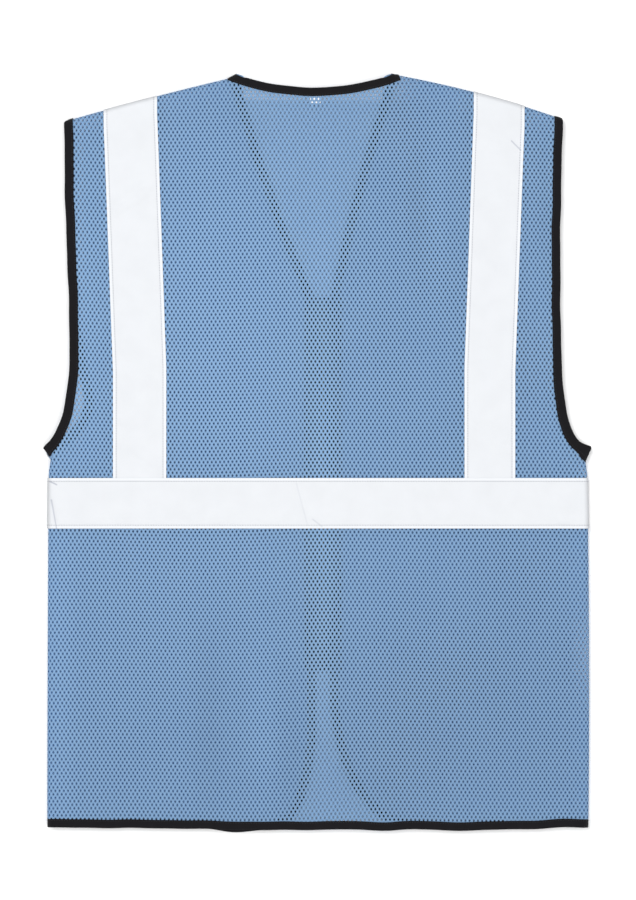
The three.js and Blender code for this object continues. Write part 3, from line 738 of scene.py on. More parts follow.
def crease_lines(tree, places, tint):
    """Thin lines of painted shade along the sharp creases, on places in millimetres"""
    for crease in TAPE_CREASES:
        if "shade" not in crease:
            continue
        start = Vector((*crease["from"], 0))
        along = Vector((*crease["to"], 0)) - start
        off = tree.node("ShaderNodeVectorMath", {"operation": "SUBTRACT"}, (places, tuple(start)))
        step = tuple(along / along.length_squared)
        part = tree.node("ShaderNodeVectorMath", {"operation": "DOT_PRODUCT"}, (off, step), "Value").clamp()
        walked = tree.node("ShaderNodeVectorMath", {"operation": "SCALE"}, {0: tuple(along), "Scale": part})
        gap = tree.node("ShaderNodeVectorMath", {"operation": "DISTANCE"}, (off, walked), "Value")
        line = (1 - gap / 1.1).clamp() * crease["shade"]
        tint = tree.mix(line, tint, (0.17, 0.19, 0.27, 1))
    return tint


def tape_cloth(creased=True):
    """Silver reflective cloth: a fine satin bead coat with faint clouding, and painted shade along its seams, where
    it turns over the fold and, if creased, in its sharp creases.
    """
    material, tree = new_material("reflective_tape" if creased else "reflective_tape_smooth")
    if not tree:
        return material
    colours = settings()[3]
    uv, u, v = flat_places(tree, 0.45 * MM)
    weave = (u * math.pi * 2).sin() * (v * math.pi * 2).sin()
    scaled = tree.node("ShaderNodeVectorMath", {"operation": "SCALE"}, {0: uv, "Scale": 1 / MM})
    cloud = tree.node("ShaderNodeTexNoise", {}, {"Vector": scaled, "Scale": 0.05, "Detail": 4.0})
    beads = tree.node("ShaderNodeTexNoise", {}, {"Vector": scaled, "Scale": 5.0, "Detail": 1.0})
    shade = (cloud * 0.9 + weave * 0.05 + beads * 0.12).clamp()
    tint = tree.mix(shade, rgba(colours.tape, 0.95), rgba(colours.tape, 1.05))
    edge = tree.node("ShaderNodeAttribute", {"attribute_name": "from_edge"}, (), "Fac")
    inset = settings()[1].seam_inset / MM
    # Painted shade along the sunk seam line
    groove = tree.node("ShaderNodeMath", {"operation": "ABSOLUTE"}, (edge - inset,))
    tint = tree.mix((1 - groove * 1.4).clamp() * 0.4, tint, rgba(colours.tape, 0.72))
    tint = tree.mix(((inset - 0.9 - edge) * 2).clamp(), tint, rgba(colours.tape, 1.08))
    # Painted shade where the tape turns over the shoulder fold
    turned = tree.node("ShaderNodeAttribute", {"attribute_name": "turned"}, (), "Fac")
    tint = tree.mix((turned * 2).clamp() * 0.5, tint, rgba(colours.tape, 0.45))
    # Painted shade in the sharp creases
    if creased:
        tint = crease_lines(tree, scaled, tint)
    crumple = tree.node("ShaderNodeTexNoise", {}, {"Vector": scaled, "Scale": 0.16, "Detail": 4.0})
    height = (weave + beads) * 0.2 + crumple * 2
    bump = tree.node("ShaderNodeBump", {}, {"Strength": 0.4, "Distance": 0.0002, "Height": height})
    inputs = {"Base Color": tint, "Roughness": 0.42 + beads * 0.15, "Normal": bump}
    inputs["Specular IOR Level"] = 0.45
    finish_surface(tree, inputs, 0.05)
    return material


def plain(name, tint, rough, metallic=0.0):
    """Thread, moulded teeth and other small plain things, with a slight unevenness."""
    material, tree = new_material(name)
    if not tree:
        return material
    place = tree.node("ShaderNodeTexCoord", {}, (), "Object")
    grain = tree.node("ShaderNodeTexNoise", {}, {"Vector": place, "Scale": 900.0, "Detail": 2.0})
    mixed = tree.mix(grain, rgba(tint, 0.85), rgba(tint, 1.1))
    inputs = {"Base Color": mixed, "Roughness": rough + grain * 0.15, "Metallic": metallic}
    finish_surface(tree, inputs)
    return material


def binding_cloth():
    return woven("binding_cloth", settings()[3].binding, 0.55 * MM, 0.8, 0.06, 0.35, 0.12)


def thread_light():
    return plain("thread_light", settings()[3].thread, 0.6)


def thread_dark():
    return plain("thread_dark", settings()[3].binding, 0.6)


def run_nodes(name, source, build, inputs):
    """Runs a Geometry Nodes tree on an object and gives back a plain mesh."""
    group = bpy.data.node_groups.new(name, "GeometryNodeTree")
    group.interface.new_socket("Geometry", in_out="INPUT", socket_type="NodeSocketGeometry")
    group.interface.new_socket("Geometry", in_out="OUTPUT", socket_type="NodeSocketGeometry")
    sockets = {}
    for label, value in inputs.items():
        kind = "NodeSocketInt" if isinstance(value, int) else "NodeSocketFloat"
        sockets[label] = group.interface.new_socket(label, in_out="INPUT", socket_type=kind)
    tree = Tree(group)
    entry = group.nodes.new("NodeGroupInput")
    ports = {label: Value(tree, entry.outputs[label]) for label in ["Geometry", *inputs]}
    result = build(tree, ports)
    tree.node("NodeGroupOutput", {}, {"Geometry": result})
    modifier = source.modifiers.new(name, "NODES")
    modifier.node_group = group
    for label, value in inputs.items():
        modifier[sockets[label].identifier] = value
    bpy.context.view_layer.update()
    depsgraph = bpy.context.evaluated_depsgraph_get()
    mesh = bpy.data.meshes.new_from_object(source.evaluated_get(depsgraph))
    source.modifiers.remove(modifier)
    return mesh


def perforate(name, verts, faces, open_cells, material):
    """Cuts a hole in each marked cell of a flat lattice."""
    mesh = bpy.data.meshes.new(name + "_lattice")
    mesh.from_pydata(verts.tolist(), [], faces.tolist())
    mark = mesh.attributes.new("open", "BOOLEAN", "FACE")
    mark.data.foreach_set("value", open_cells)
    lattice = bpy.data.objects.new(name + "_lattice", mesh)
    bpy.context.collection.objects.link(lattice)
    holes = settings()[2]

    def build(tree, ports):
        marked = tree.node("GeometryNodeInputNamedAttribute", {"data_type": "BOOLEAN"}, ("open",))
        extrude = tree.node(
            "GeometryNodeExtrudeMesh",
            {"mode": "FACES"},
            {"Mesh": ports["Geometry"], "Selection": marked, "Offset Scale": 0.0, "Individual": True},
        )
        top = Value(tree, extrude.socket.node.outputs["Top"])
        narrow = tree.node(
            "GeometryNodeScaleElements",
            {"domain": "FACE", "scale_mode": "UNIFORM"},
            {"Geometry": extrude, "Selection": top, "Scale": ports["Hole width"]},
        )
        low = tree.node(
            "GeometryNodeScaleElements",
            {"domain": "FACE", "scale_mode": "SINGLE_AXIS"},
            {"Geometry": narrow, "Selection": top, "Scale": ports["Hole height"], "Axis": (0, 1, 0)},
        )
        cut = tree.node("GeometryNodeDeleteGeometry", {"domain": "FACE"}, {"Geometry": low, "Selection": top})
        real = tree.node("GeometryNodeRealizeInstances", {}, {"Geometry": cut})
        return tree.node("GeometryNodeSetMaterial", {}, {"Geometry": real, "Material": material})

    inputs = {"Hole width": holes.hole_width, "Hole height": holes.hole_height}
    cut = run_nodes(name + "_holes", lattice, build, inputs)
    bpy.data.objects.remove(lattice)
    return cut


# Flat area of each sheet of mesh, by its piece's name, filled in as the sheets are cut
CUT_AREAS = {}


def lattice(low, high):
    """Cells of the staggered mesh between two flat corners: nodes, quads and the cells' middles."""
    holes = settings()[2]
    half, row = holes.pitch / 2, holes.row_pitch
    a = np.arange(math.floor(low[0] / half) - 1, math.ceil(high[0] / half) + 2)
    b = np.arange(math.floor(low[1] / row) - 1, math.ceil(high[1] / row) + 2)
    grid_a, grid_b = np.meshgrid(a, b)
    verts = np.stack([grid_a * half, grid_b * row, np.zeros(grid_a.shape)], axis=-1).reshape(-1, 3)
    index = np.arange(grid_a.size).reshape(grid_a.shape)
    inner = ((grid_a + grid_b) % 2 == 0)[1:-1, 1:-1]
    left, right = index[1:-1, :-2][inner], index[1:-1, 2:][inner]
    below, above = index[:-2, 1:-1][inner], index[2:, 1:-1][inner]
    faces = np.stack([left, below, right, above], axis=-1)
    middles = verts[index[1:-1, 1:-1][inner]][:, :2]
    return verts, faces, middles


def wander(x, y, shift):
    """The mesh's rows wander a little, as a knit does. Each sheet has its own shift and wanders its own way."""
    reach = settings()[2].wander
    phase = 900 * (shift[0] + shift[1])
    x, y = x + shift[0], y + shift[1]
    dx = reach * np.sin(x / (143 * MM) + 0.5 + phase) * np.sin(y / (97 * MM) + 1.1)
    long_wave = np.sin(x / (88 * MM) + 0.4 * np.sin(y / (120 * MM)) + phase)
    short_wave = np.sin(x / (37 * MM) + y / (210 * MM) - phase)
    return x + dx, y + reach * (long_wave + 0.5 * short_wave)


def mesh_sheet(name, pattern, front, inside, closed_over, limit, shift, lift=0.0):
    """A sheet of mesh cloth. inside says how far a place lies within the cut, closed_over where it has no holes."""
    body = pattern.body
    reach = body.hem_width / 2 + 12 * MM
    verts, faces, middles = lattice((-reach, -8 * MM), (reach, body.body_length + 12 * MM))
    mid_x, mid_y = wander(middles[:, 0], middles[:, 1], shift)
    keep = inside(mid_x, mid_y) > 0
    faces = faces[keep]
    open_cells = ~closed_over(mid_x[keep], mid_y[keep])
    used = np.unique(faces)
    renumber = np.zeros(len(verts), dtype=int)
    renumber[used] = np.arange(len(used))
    material = mesh_cloth()
    cut = perforate(name, verts[used], renumber[faces], open_cells, material)
    count = len(cut.vertices)
    flat = np.empty(count * 3)
    cut.vertices.foreach_get("co", flat)
    flat = flat.reshape(-1, 3)
    x, y = wander(flat[:, 0], flat[:, 1], shift)
    x, y = limit(x, y)
    points, _ = pattern.place(x, y, front, lift)
    quads = [tuple(polygon.vertices) for polygon in cut.polygons]
    if front:
        quads = [quad[::-1] for quad in quads]
    holes = settings()[2]
    CUT_AREAS[name] = len(faces) * holes.pitch * holes.row_pitch
    piece = make_object(name, points, quads, material, flat_uv=flat[:, :2])
    # Painted light and shade on the back's colour; the fronts get none
    mark = piece.data.attributes.new("tone", "FLOAT", "POINT")
    painted_light_and_shade_values = np.ones(count) if front else pattern.tone(x, y)
    mark.data.foreach_set("value", painted_light_and_shade_values.astype(np.float32))
    return piece


def back_inside(pattern):
    """How far a place lies within the back, past whose folds the cloth wraps by the seam's width."""

    def inside(x, y):
        fold = pattern.side_fold(y)
        margins = []
        for side in SIDES.values():
            reach = side["sign"] * (pattern.edge_x(side, y, False) - x)
            margins.append(reach + fold * (pattern.extra + SEAM_WRAP) - (1 - fold) * 2.5 * MM)
        fold = pattern.shoulder_fold(x)
        top = pattern.edge_y(x) - y + fold * (pattern.extra + SEAM_WRAP) - (1 - fold) * 2.8 * MM
        return np.minimum(np.minimum(margins[0], margins[1]), np.minimum(top, y - pattern.hem_line(x) - 4 * MM))

    return inside


def back_limit(pattern):
    """Draws places beyond the wrapped edges back onto them, so that those run straight."""

    def limit(x, y):
        for _ in range(2):
            fold = pattern.side_fold(y)
            for side in SIDES.values():
                edge = pattern.edge_x(side, y, False) + side["sign"] * fold * (pattern.extra + SEAM_WRAP)
                x = np.where(side["sign"] * (x - edge) > 0, edge, x)
            top = pattern.edge_y(x) + pattern.shoulder_fold(x) * (pattern.extra + SEAM_WRAP)
            y = np.minimum(y, top)
        return x, y

    return limit


def under_tape(pattern, x, y, margin):
    """Whether a place lies under a tape, and not within margin of its edge."""
    trim = pattern.trim
    waist = (y > trim.tape_height + margin) & (y < pattern.tape_top - margin)
    shoulder = np.zeros_like(waist)
    for side in SIDES.values():
        near = np.abs(x - pattern.tape_middle(side, y)) < side["tape_width"] / 2 - margin
        shoulder |= near & (y > pattern.tape_top)
    return waist | shoulder


def ribbon(name, points, normals, wall, material, flat, edge=None):
    """A thin closed band from a grid of points, with its own map in flat measures."""
    rows, columns = points.shape[:2]
    top = (points + normals * wall / 2).reshape(-1, 3)
    bottom = (points - normals * wall / 2).reshape(-1, 3)
    faces = grid_faces(rows, columns) + grid_faces(rows, columns, rows * columns, flip=True)
    under = rows * columns
    for r in range(rows - 1):
        for c in (0, columns - 1):
            a, b = r * columns + c, (r + 1) * columns + c
            quad = (a, b, b + under, a + under)
            faces.append(quad if c == 0 else quad[::-1])
    for c in range(columns - 1):
        for r in (0, rows - 1):
            a, b = r * columns + c, r * columns + c + 1
            quad = (a + under, b + under, b, a)
            faces.append(quad if r == 0 else quad[::-1])
    flat = flat.reshape(-1, 2)
    piece = make_object(name, np.concatenate([top, bottom]), faces, material, flat_uv=np.concatenate([flat, flat]))
    if edge is not None:
        mark = piece.data.attributes.new("from_edge", "FLOAT", "POINT")
        mark.data.foreach_set("value", np.tile(edge.ravel() / MM, 2).astype(np.float32))
        # How far the band turns from flat, for painted shade over the fold
        turned = 1 - np.abs(normals[..., 2]).ravel()
        mark = piece.data.attributes.new("turned", "FLOAT", "POINT")
        mark.data.foreach_set("value", np.tile(turned, 2).astype(np.float32))
    fix_normals(piece)
    return piece


def across_tape(width, inset):
    """Places across a tape, closer together at the edges and along the seams."""
    edge = np.array([0, 0.25, 1.2, inset / MM - 0.8, inset / MM, inset / MM + 0.8]) * MM
    middle = np.linspace(edge[-1] + 1.6 * MM, width / 2, 9)
    half = np.concatenate([edge, middle])
    return np.concatenate([half, width - half[-2::-1]])


def tape_relief(pattern, x, y, from_edge):
    """Height of a tape's surface over the cloth: sunk along its seams and creased."""
    trim = pattern.trim
    seam = np.exp(-(((from_edge - trim.seam_inset) / (0.8 * MM)) ** 2))
    relief = -0.22 * MM * seam - 0.12 * MM * np.exp(-((from_edge / (0.5 * MM)) ** 2))
    for crease in TAPE_CREASES:
        start = np.array(crease["from"]) * MM
        along = np.array(crease["to"]) * MM - start
        t = np.clip(((x - start[0]) * along[0] + (y - start[1]) * along[1]) / along.dot(along), 0, 1)
        off = np.hypot(x - start[0] - t * along[0], y - start[1] - t * along[1])
        calm = ease((from_edge - trim.seam_inset) / (2 * MM))
        relief = relief + calm * crease["depth"] * MM * np.exp(-((off / (crease["width"] * MM)) ** 2))
    relief = relief + 0.05 * MM * np.sin(x / (9 * MM) + 2 * np.sin(y / (13 * MM)))
    return relief


def seam_stitches(name, paths, pitch, thickness, material, flatten=0.7):
    """Stitches of thread set end to end along paths in flat measures."""
    curve = bpy.data.curves.new(name + "_paths", "CURVE")
    curve.dimensions = "3D"
    for path in paths:
        spline = curve.splines.new("POLY")
        spline.points.add(len(path) - 1)
        spline.points.foreach_set("co", np.c_[to_frame(path), np.ones(len(path))].ravel())
    source = bpy.data.objects.new(name + "_paths", curve)
    bpy.context.collection.objects.link(source)

    def build(tree, ports):
        walk = tree.node(
            "GeometryNodeCurveToPoints", {"mode": "LENGTH"}, {"Curve": ports["Geometry"], "Length": ports["Pitch"]}
        )
        tangent = Value(tree, walk.socket.node.outputs["Tangent"])
        turned = tree.node("FunctionNodeAlignRotationToVector", {"axis": "X"}, {"Vector": tangent})
        bead = tree.node("GeometryNodeMeshUVSphere", {}, {"Segments": 5, "Rings": 3, "Radius": 0.5})
        size = tree.node(
            "ShaderNodeCombineXYZ",
            {},
            (ports["Pitch"] * 0.74, ports["Thickness"], ports["Thickness"] * ports["Flatness"]),
        )
        placed = tree.node(
            "GeometryNodeInstanceOnPoints",
            {},
            {"Points": walk, "Instance": bead, "Rotation": turned, "Scale": size},
        )
        real = tree.node("GeometryNodeRealizeInstances", {}, {"Geometry": placed})
        return tree.node("GeometryNodeSetMaterial", {}, {"Geometry": real, "Material": material})

    inputs = {"Pitch": float(pitch), "Thickness": float(thickness), "Flatness": float(flatten)}
    mesh = run_nodes(name, source, build, inputs)
    bpy.data.objects.remove(source)
    mesh.name = name
    mesh.shade_smooth()
    piece = bpy.data.objects.new(name, mesh)
    bpy.context.collection.objects.link(piece)
    return piece


def along_path(points, spacing):
    """Points at even distances along a line of flat places."""
    points = np.asarray(points, dtype=float)
    lengths = np.concatenate([[0], np.cumsum(np.linalg.norm(np.diff(points, axis=0), axis=1))])
    count = max(2, int(lengths[-1] / spacing))
    at = np.linspace(0, lengths[-1], count)
    return np.stack([np.interp(at, lengths, points[:, k]) for k in range(points.shape[1])], axis=-1)


def binding_profile(width, wall, depth):
    """Section of folded binding as (inwards, up) pairs: up one flap, round the edge and back, inside and out."""
    outer, inner = [], []
    round_steps = 6
    half = depth / 2
    for inwards in (width, width - 0.25 * MM, width - 1.6 * MM, width * 0.45, half + wall + 0.4 * MM):
        swell = 0.12 * MM * math.sin(math.pi * min(1, inwards / width))
        outer.append((inwards, half + wall + swell - (0.2 * MM if inwards == width else 0)))
    for k in range(round_steps + 1):
        angle = math.pi / 2 - math.pi * k / round_steps
        r = half + wall
        outer.append((r * (1 - math.cos(angle)), r * math.sin(angle)))
    for inwards, up in outer[4::-1]:
        outer.append((inwards, -up))
    for inwards, up in ((width, -half), (half + wall, -half)):
        inner.append((inwards, up))
    for k in range(1, 4):
        angle = -math.pi / 2 + math.pi * k / 4
        inner.append((wall + half * (1 - math.cos(angle)), half * math.sin(angle)))
    inner += [(half + wall, half), (width, half)]
    return outer + inner


def sweep_binding(name, ring, material):
    """Binding folded over an edge: a closed section in each row of the grid of points."""
    rows, columns = ring.shape[:2]
    verts = ring.reshape(-1, 3)
    faces = grid_faces(rows, columns, closed=True)
    faces.append(tuple(range(columns))[::-1])
    faces.append(tuple(range((rows - 1) * columns, rows * columns)))
    run = np.concatenate([[0], np.cumsum(np.linalg.norm(np.diff(ring[:, 0], axis=0), axis=1))])
    around = np.concatenate([[0], np.cumsum(np.linalg.norm(np.diff(ring[0], axis=0), axis=1))])
    flat = np.stack(np.meshgrid(run, around, indexing="ij"), axis=-1).reshape(-1, 2)
    piece = make_object(name, verts, faces, material, flat_uv=flat)
    fix_normals(piece)
    return piece


def unit(v):
    return v / np.maximum(np.linalg.norm(v, axis=-1, keepdims=True), 1e-12)


def into_cloth(path, towards):
    """Flat directions at right angles to an edge. towards is any place well inside it."""
    tangents = unit(np.gradient(path, axis=0))
    inwards = np.stack([-tangents[:, 1], tangents[:, 0]], axis=-1)
    if np.sum(inwards * (towards - path)) < 0:
        inwards = -inwards
    return inwards


def ride_all(pieces, slot_name, nodes=()):
    """Ties finished pieces to the vest's one body."""
    for piece in pieces:
        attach(piece, "root")
    if nodes:
        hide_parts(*nodes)


def replace_with(piece, slot_name, *nodes):
    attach(piece, "root")
    if nodes:
        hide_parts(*nodes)


class VEST_OT_back(bpy.types.Operator):
    """Makes the back of the vest, one sheet of mesh that wraps round the side and shoulder folds"""

    bl_idname = "vest.back"
    bl_label = "Back"

    def execute(self, context):
        pattern = Pattern()

        def closed_over(x, y):
            body, trim = pattern.body, pattern.trim
            near_side = pattern.from_edge(x, y)
            bound = (near_side < trim.binding_width - 1.5 * MM) & (pattern.side_fold(y) < 0.9)
            bound &= (pattern.shoulder_fold(x) < 0.9) | (y < pattern.tip_height - 25 * MM)
            hem = y - pattern.hem_line(x) < trim.binding_width
            return under_tape(pattern, x, y, 1.0 * MM) | bound | hem

        piece = mesh_sheet(
            "back_mesh", pattern, False, back_inside(pattern), closed_over, back_limit(pattern), (0, 0)
        )
        replace_with(piece, "mesh", "back_panel")
        return {"FINISHED"}


class VEST_OT_fronts(bpy.types.Operator):
    """Makes the two fronts, which lie underneath"""

    bl_idname = "vest.fronts"
    bl_label = "Fronts"

    def execute(self, context):
        pattern = Pattern()
        for label, side in SIDES.items():
            self.make(pattern, label, side)
        return {"FINISHED"}

    def make(self, pattern, label, side):
        def inside(x, y):
            fold = pattern.side_fold(y)
            out = side["sign"] * (pattern.edge_x(side, y, True) - x) + fold * pattern.extra
            out = out - (1 - fold) * 2.5 * MM
            open_edge = side["sign"] * (x - pattern.front_outline(side, y)) - 4 * MM
            hem = y - pattern.front_hem(side, x) - 4 * MM
            fold = pattern.shoulder_fold(x)
            top = pattern.edge_y(x) - y + fold * pattern.extra - (1 - fold) * 2.8 * MM
            return np.minimum(np.minimum(out, open_edge), np.minimum(hem, top))

        def limit(x, y):
            fold = pattern.side_fold(y)
            edge = pattern.edge_x(side, y, True) + side["sign"] * fold * pattern.extra
            x = np.where(side["sign"] * (x - edge) > 0, edge, x)
            y = np.minimum(y, pattern.edge_y(x) + pattern.shoulder_fold(x) * pattern.extra)
            return x, y

        def closed_over(x, y):
            width = pattern.trim.binding_width - 1.5 * MM
            at_open = side["sign"] * (x - pattern.front_outline(side, y)) < width
            at_hem = y - pattern.front_hem(side, x) < width
            at_arm = (side["sign"] * (pattern.armhole(side, y, True) - x) < width) & (pattern.side_fold(y) < 0.5)
            return at_open | at_hem | at_arm | under_tape(pattern, x, y, 1.0 * MM)

        name = f"front_mesh_{label}"
        shift = (1.3 * MM * side["sign"], 0.9 * MM)
        piece = mesh_sheet(name, pattern, True, inside, closed_over, limit, shift)
        replace_with(piece, "mesh", f"front_panel_{label}")


class VEST_OT_tapes(bpy.types.Operator):
    """Makes the reflective tapes over the shoulders and round the waist, with their seams"""

    bl_idname = "vest.tapes"
    bl_label = "Reflective tapes"

    def execute(self, context):
        pattern = Pattern()
        trim = pattern.trim
        lift = STACK + trim.tape_wall / 2 + 0.1 * MM
        seams = []
        for label, side in SIDES.items():
            seams += self.shoulder(pattern, label, side, lift)
        seams += self.waist(pattern, lift)
        piece = seam_stitches("tape_stitches", seams, trim.stitch_pitch, trim.stitch_width, thread_light())
        replace_with(piece, "tape")
        return {"FINISHED"}

    def shoulder(self, pattern, label, side, lift):
        """One tape, from the waist up the back, over the shoulder fold and down the front"""
        trim = pattern.trim
        across = across_tape(side["tape_width"], trim.seam_inset)
        start = pattern.tape_top - 4 * MM
        grids = []
        for front in (False, True):
            middle = pattern.tape_middle(side, pattern.tip_height)
            top = float(pattern.edge_y(middle)) + pattern.extra
            share = np.concatenate([np.linspace(0, 0.97, 60 if front else 180), np.linspace(0.975, 1, 14)])
            part = share[:, None]
            offset = (across - side["tape_width"] / 2)[None, :]
            y = mix(start, top, part) + 0 * offset
            x = pattern.tape_middle(side, y) + offset
            fold_line = pattern.edge_y(x) + pattern.extra
            y = start + (fold_line - start) * part
            from_edge = np.minimum(across, side["tape_width"] - across)[None, :] + 0 * y
            points, normals = pattern.place(x, y, front)
            relief = tape_relief(pattern, x, y, from_edge) if not front else -0.2 * MM * np.exp(
                -(((from_edge - trim.seam_inset) / (0.8 * MM)) ** 2)
            )
            points = points + normals * (lift + relief)[..., None]
            grids.append((points, normals, x, y, from_edge))
        back, front = grids
        points = np.concatenate([back[0], front[0][-2::-1]])
        normals = np.concatenate([back[1], front[1][-2::-1]])
        flat_y = np.concatenate([back[3], 2 * back[3][-1:] - front[3][-2::-1]])
        flat_x = np.concatenate([back[2], front[2][-2::-1]])
        flat = np.stack([flat_x, flat_y], axis=-1)
        name = f"shoulder_tape_cloth_{label}"
        edge = np.concatenate([back[4], front[4][-2::-1]])
        piece = ribbon(name, points, normals, trim.tape_wall, tape_cloth(), flat, edge)
        replace_with(piece, "tape", f"shoulder_tape_{label}")
        seams = []
        for column in self.seam_columns(across, trim.seam_inset):
            seams.append(points[:, column] + normals[:, column] * (trim.tape_wall / 2 + 0.03 * MM))
        return seams

    def seam_columns(self, across, inset):
        near = int(np.argmin(np.abs(across - inset)))
        return near, len(across) - 1 - near

    def waist(self, pattern, lift):
        """The waist tape of the back and of each front, joined at the side folds"""
        trim = pattern.trim
        across = across_tape(trim.tape_width, trim.seam_inset)
        y = (trim.tape_height + across)[:, None]
        seams = []
        ends = []
        for side in SIDES.values():
            edge = float(pattern.edge_x(side, trim.tape_height + trim.tape_width / 2, False))
            ends.append(edge + side["sign"] * pattern.extra)
        runs = {"back": (ends[0], ends[1], False)}
        for label, side in SIDES.items():
            opening = float(pattern.front_outline(side, trim.tape_height)) + side["sign"] * trim.binding_width
            low, high = sorted((opening, ends[0] if side["sign"] < 0 else ends[1]))
            runs[f"front_{label}"] = (low, high, True)
        for label, (low, high, front) in runs.items():
            fine = np.linspace(0, 8 * MM, 9)
            x = np.unique(np.concatenate([low + fine, high - fine, np.linspace(low + 9 * MM, high - 9 * MM, 100 if front else 380)]))
            x = x[None, :] + 0 * y
            grid_y = y + 0 * x
            from_edge = np.minimum(across, trim.tape_width - across)[:, None] + 0 * x
            points, normals = pattern.place(x, grid_y, front)
            relief = tape_relief(pattern, x, grid_y, from_edge) if not front else 0 * x
            over = 0.42 * MM if front else trim.tape_wall + 0.15 * MM
            points = points + normals * (lift + over + relief)[..., None]
            name = f"waist_tape_cloth_{label}"
            flat = np.stack([x, grid_y], axis=-1)
            piece = ribbon(name, points, normals, trim.tape_wall, tape_cloth(not front), flat, from_edge)
            replace_with(piece, "tape", f"waist_tape_{label}")
            for row in self.seam_columns(across, trim.seam_inset):
                seams.append(points[row] + normals[row] * (trim.tape_wall / 2 + 0.03 * MM))
        return seams


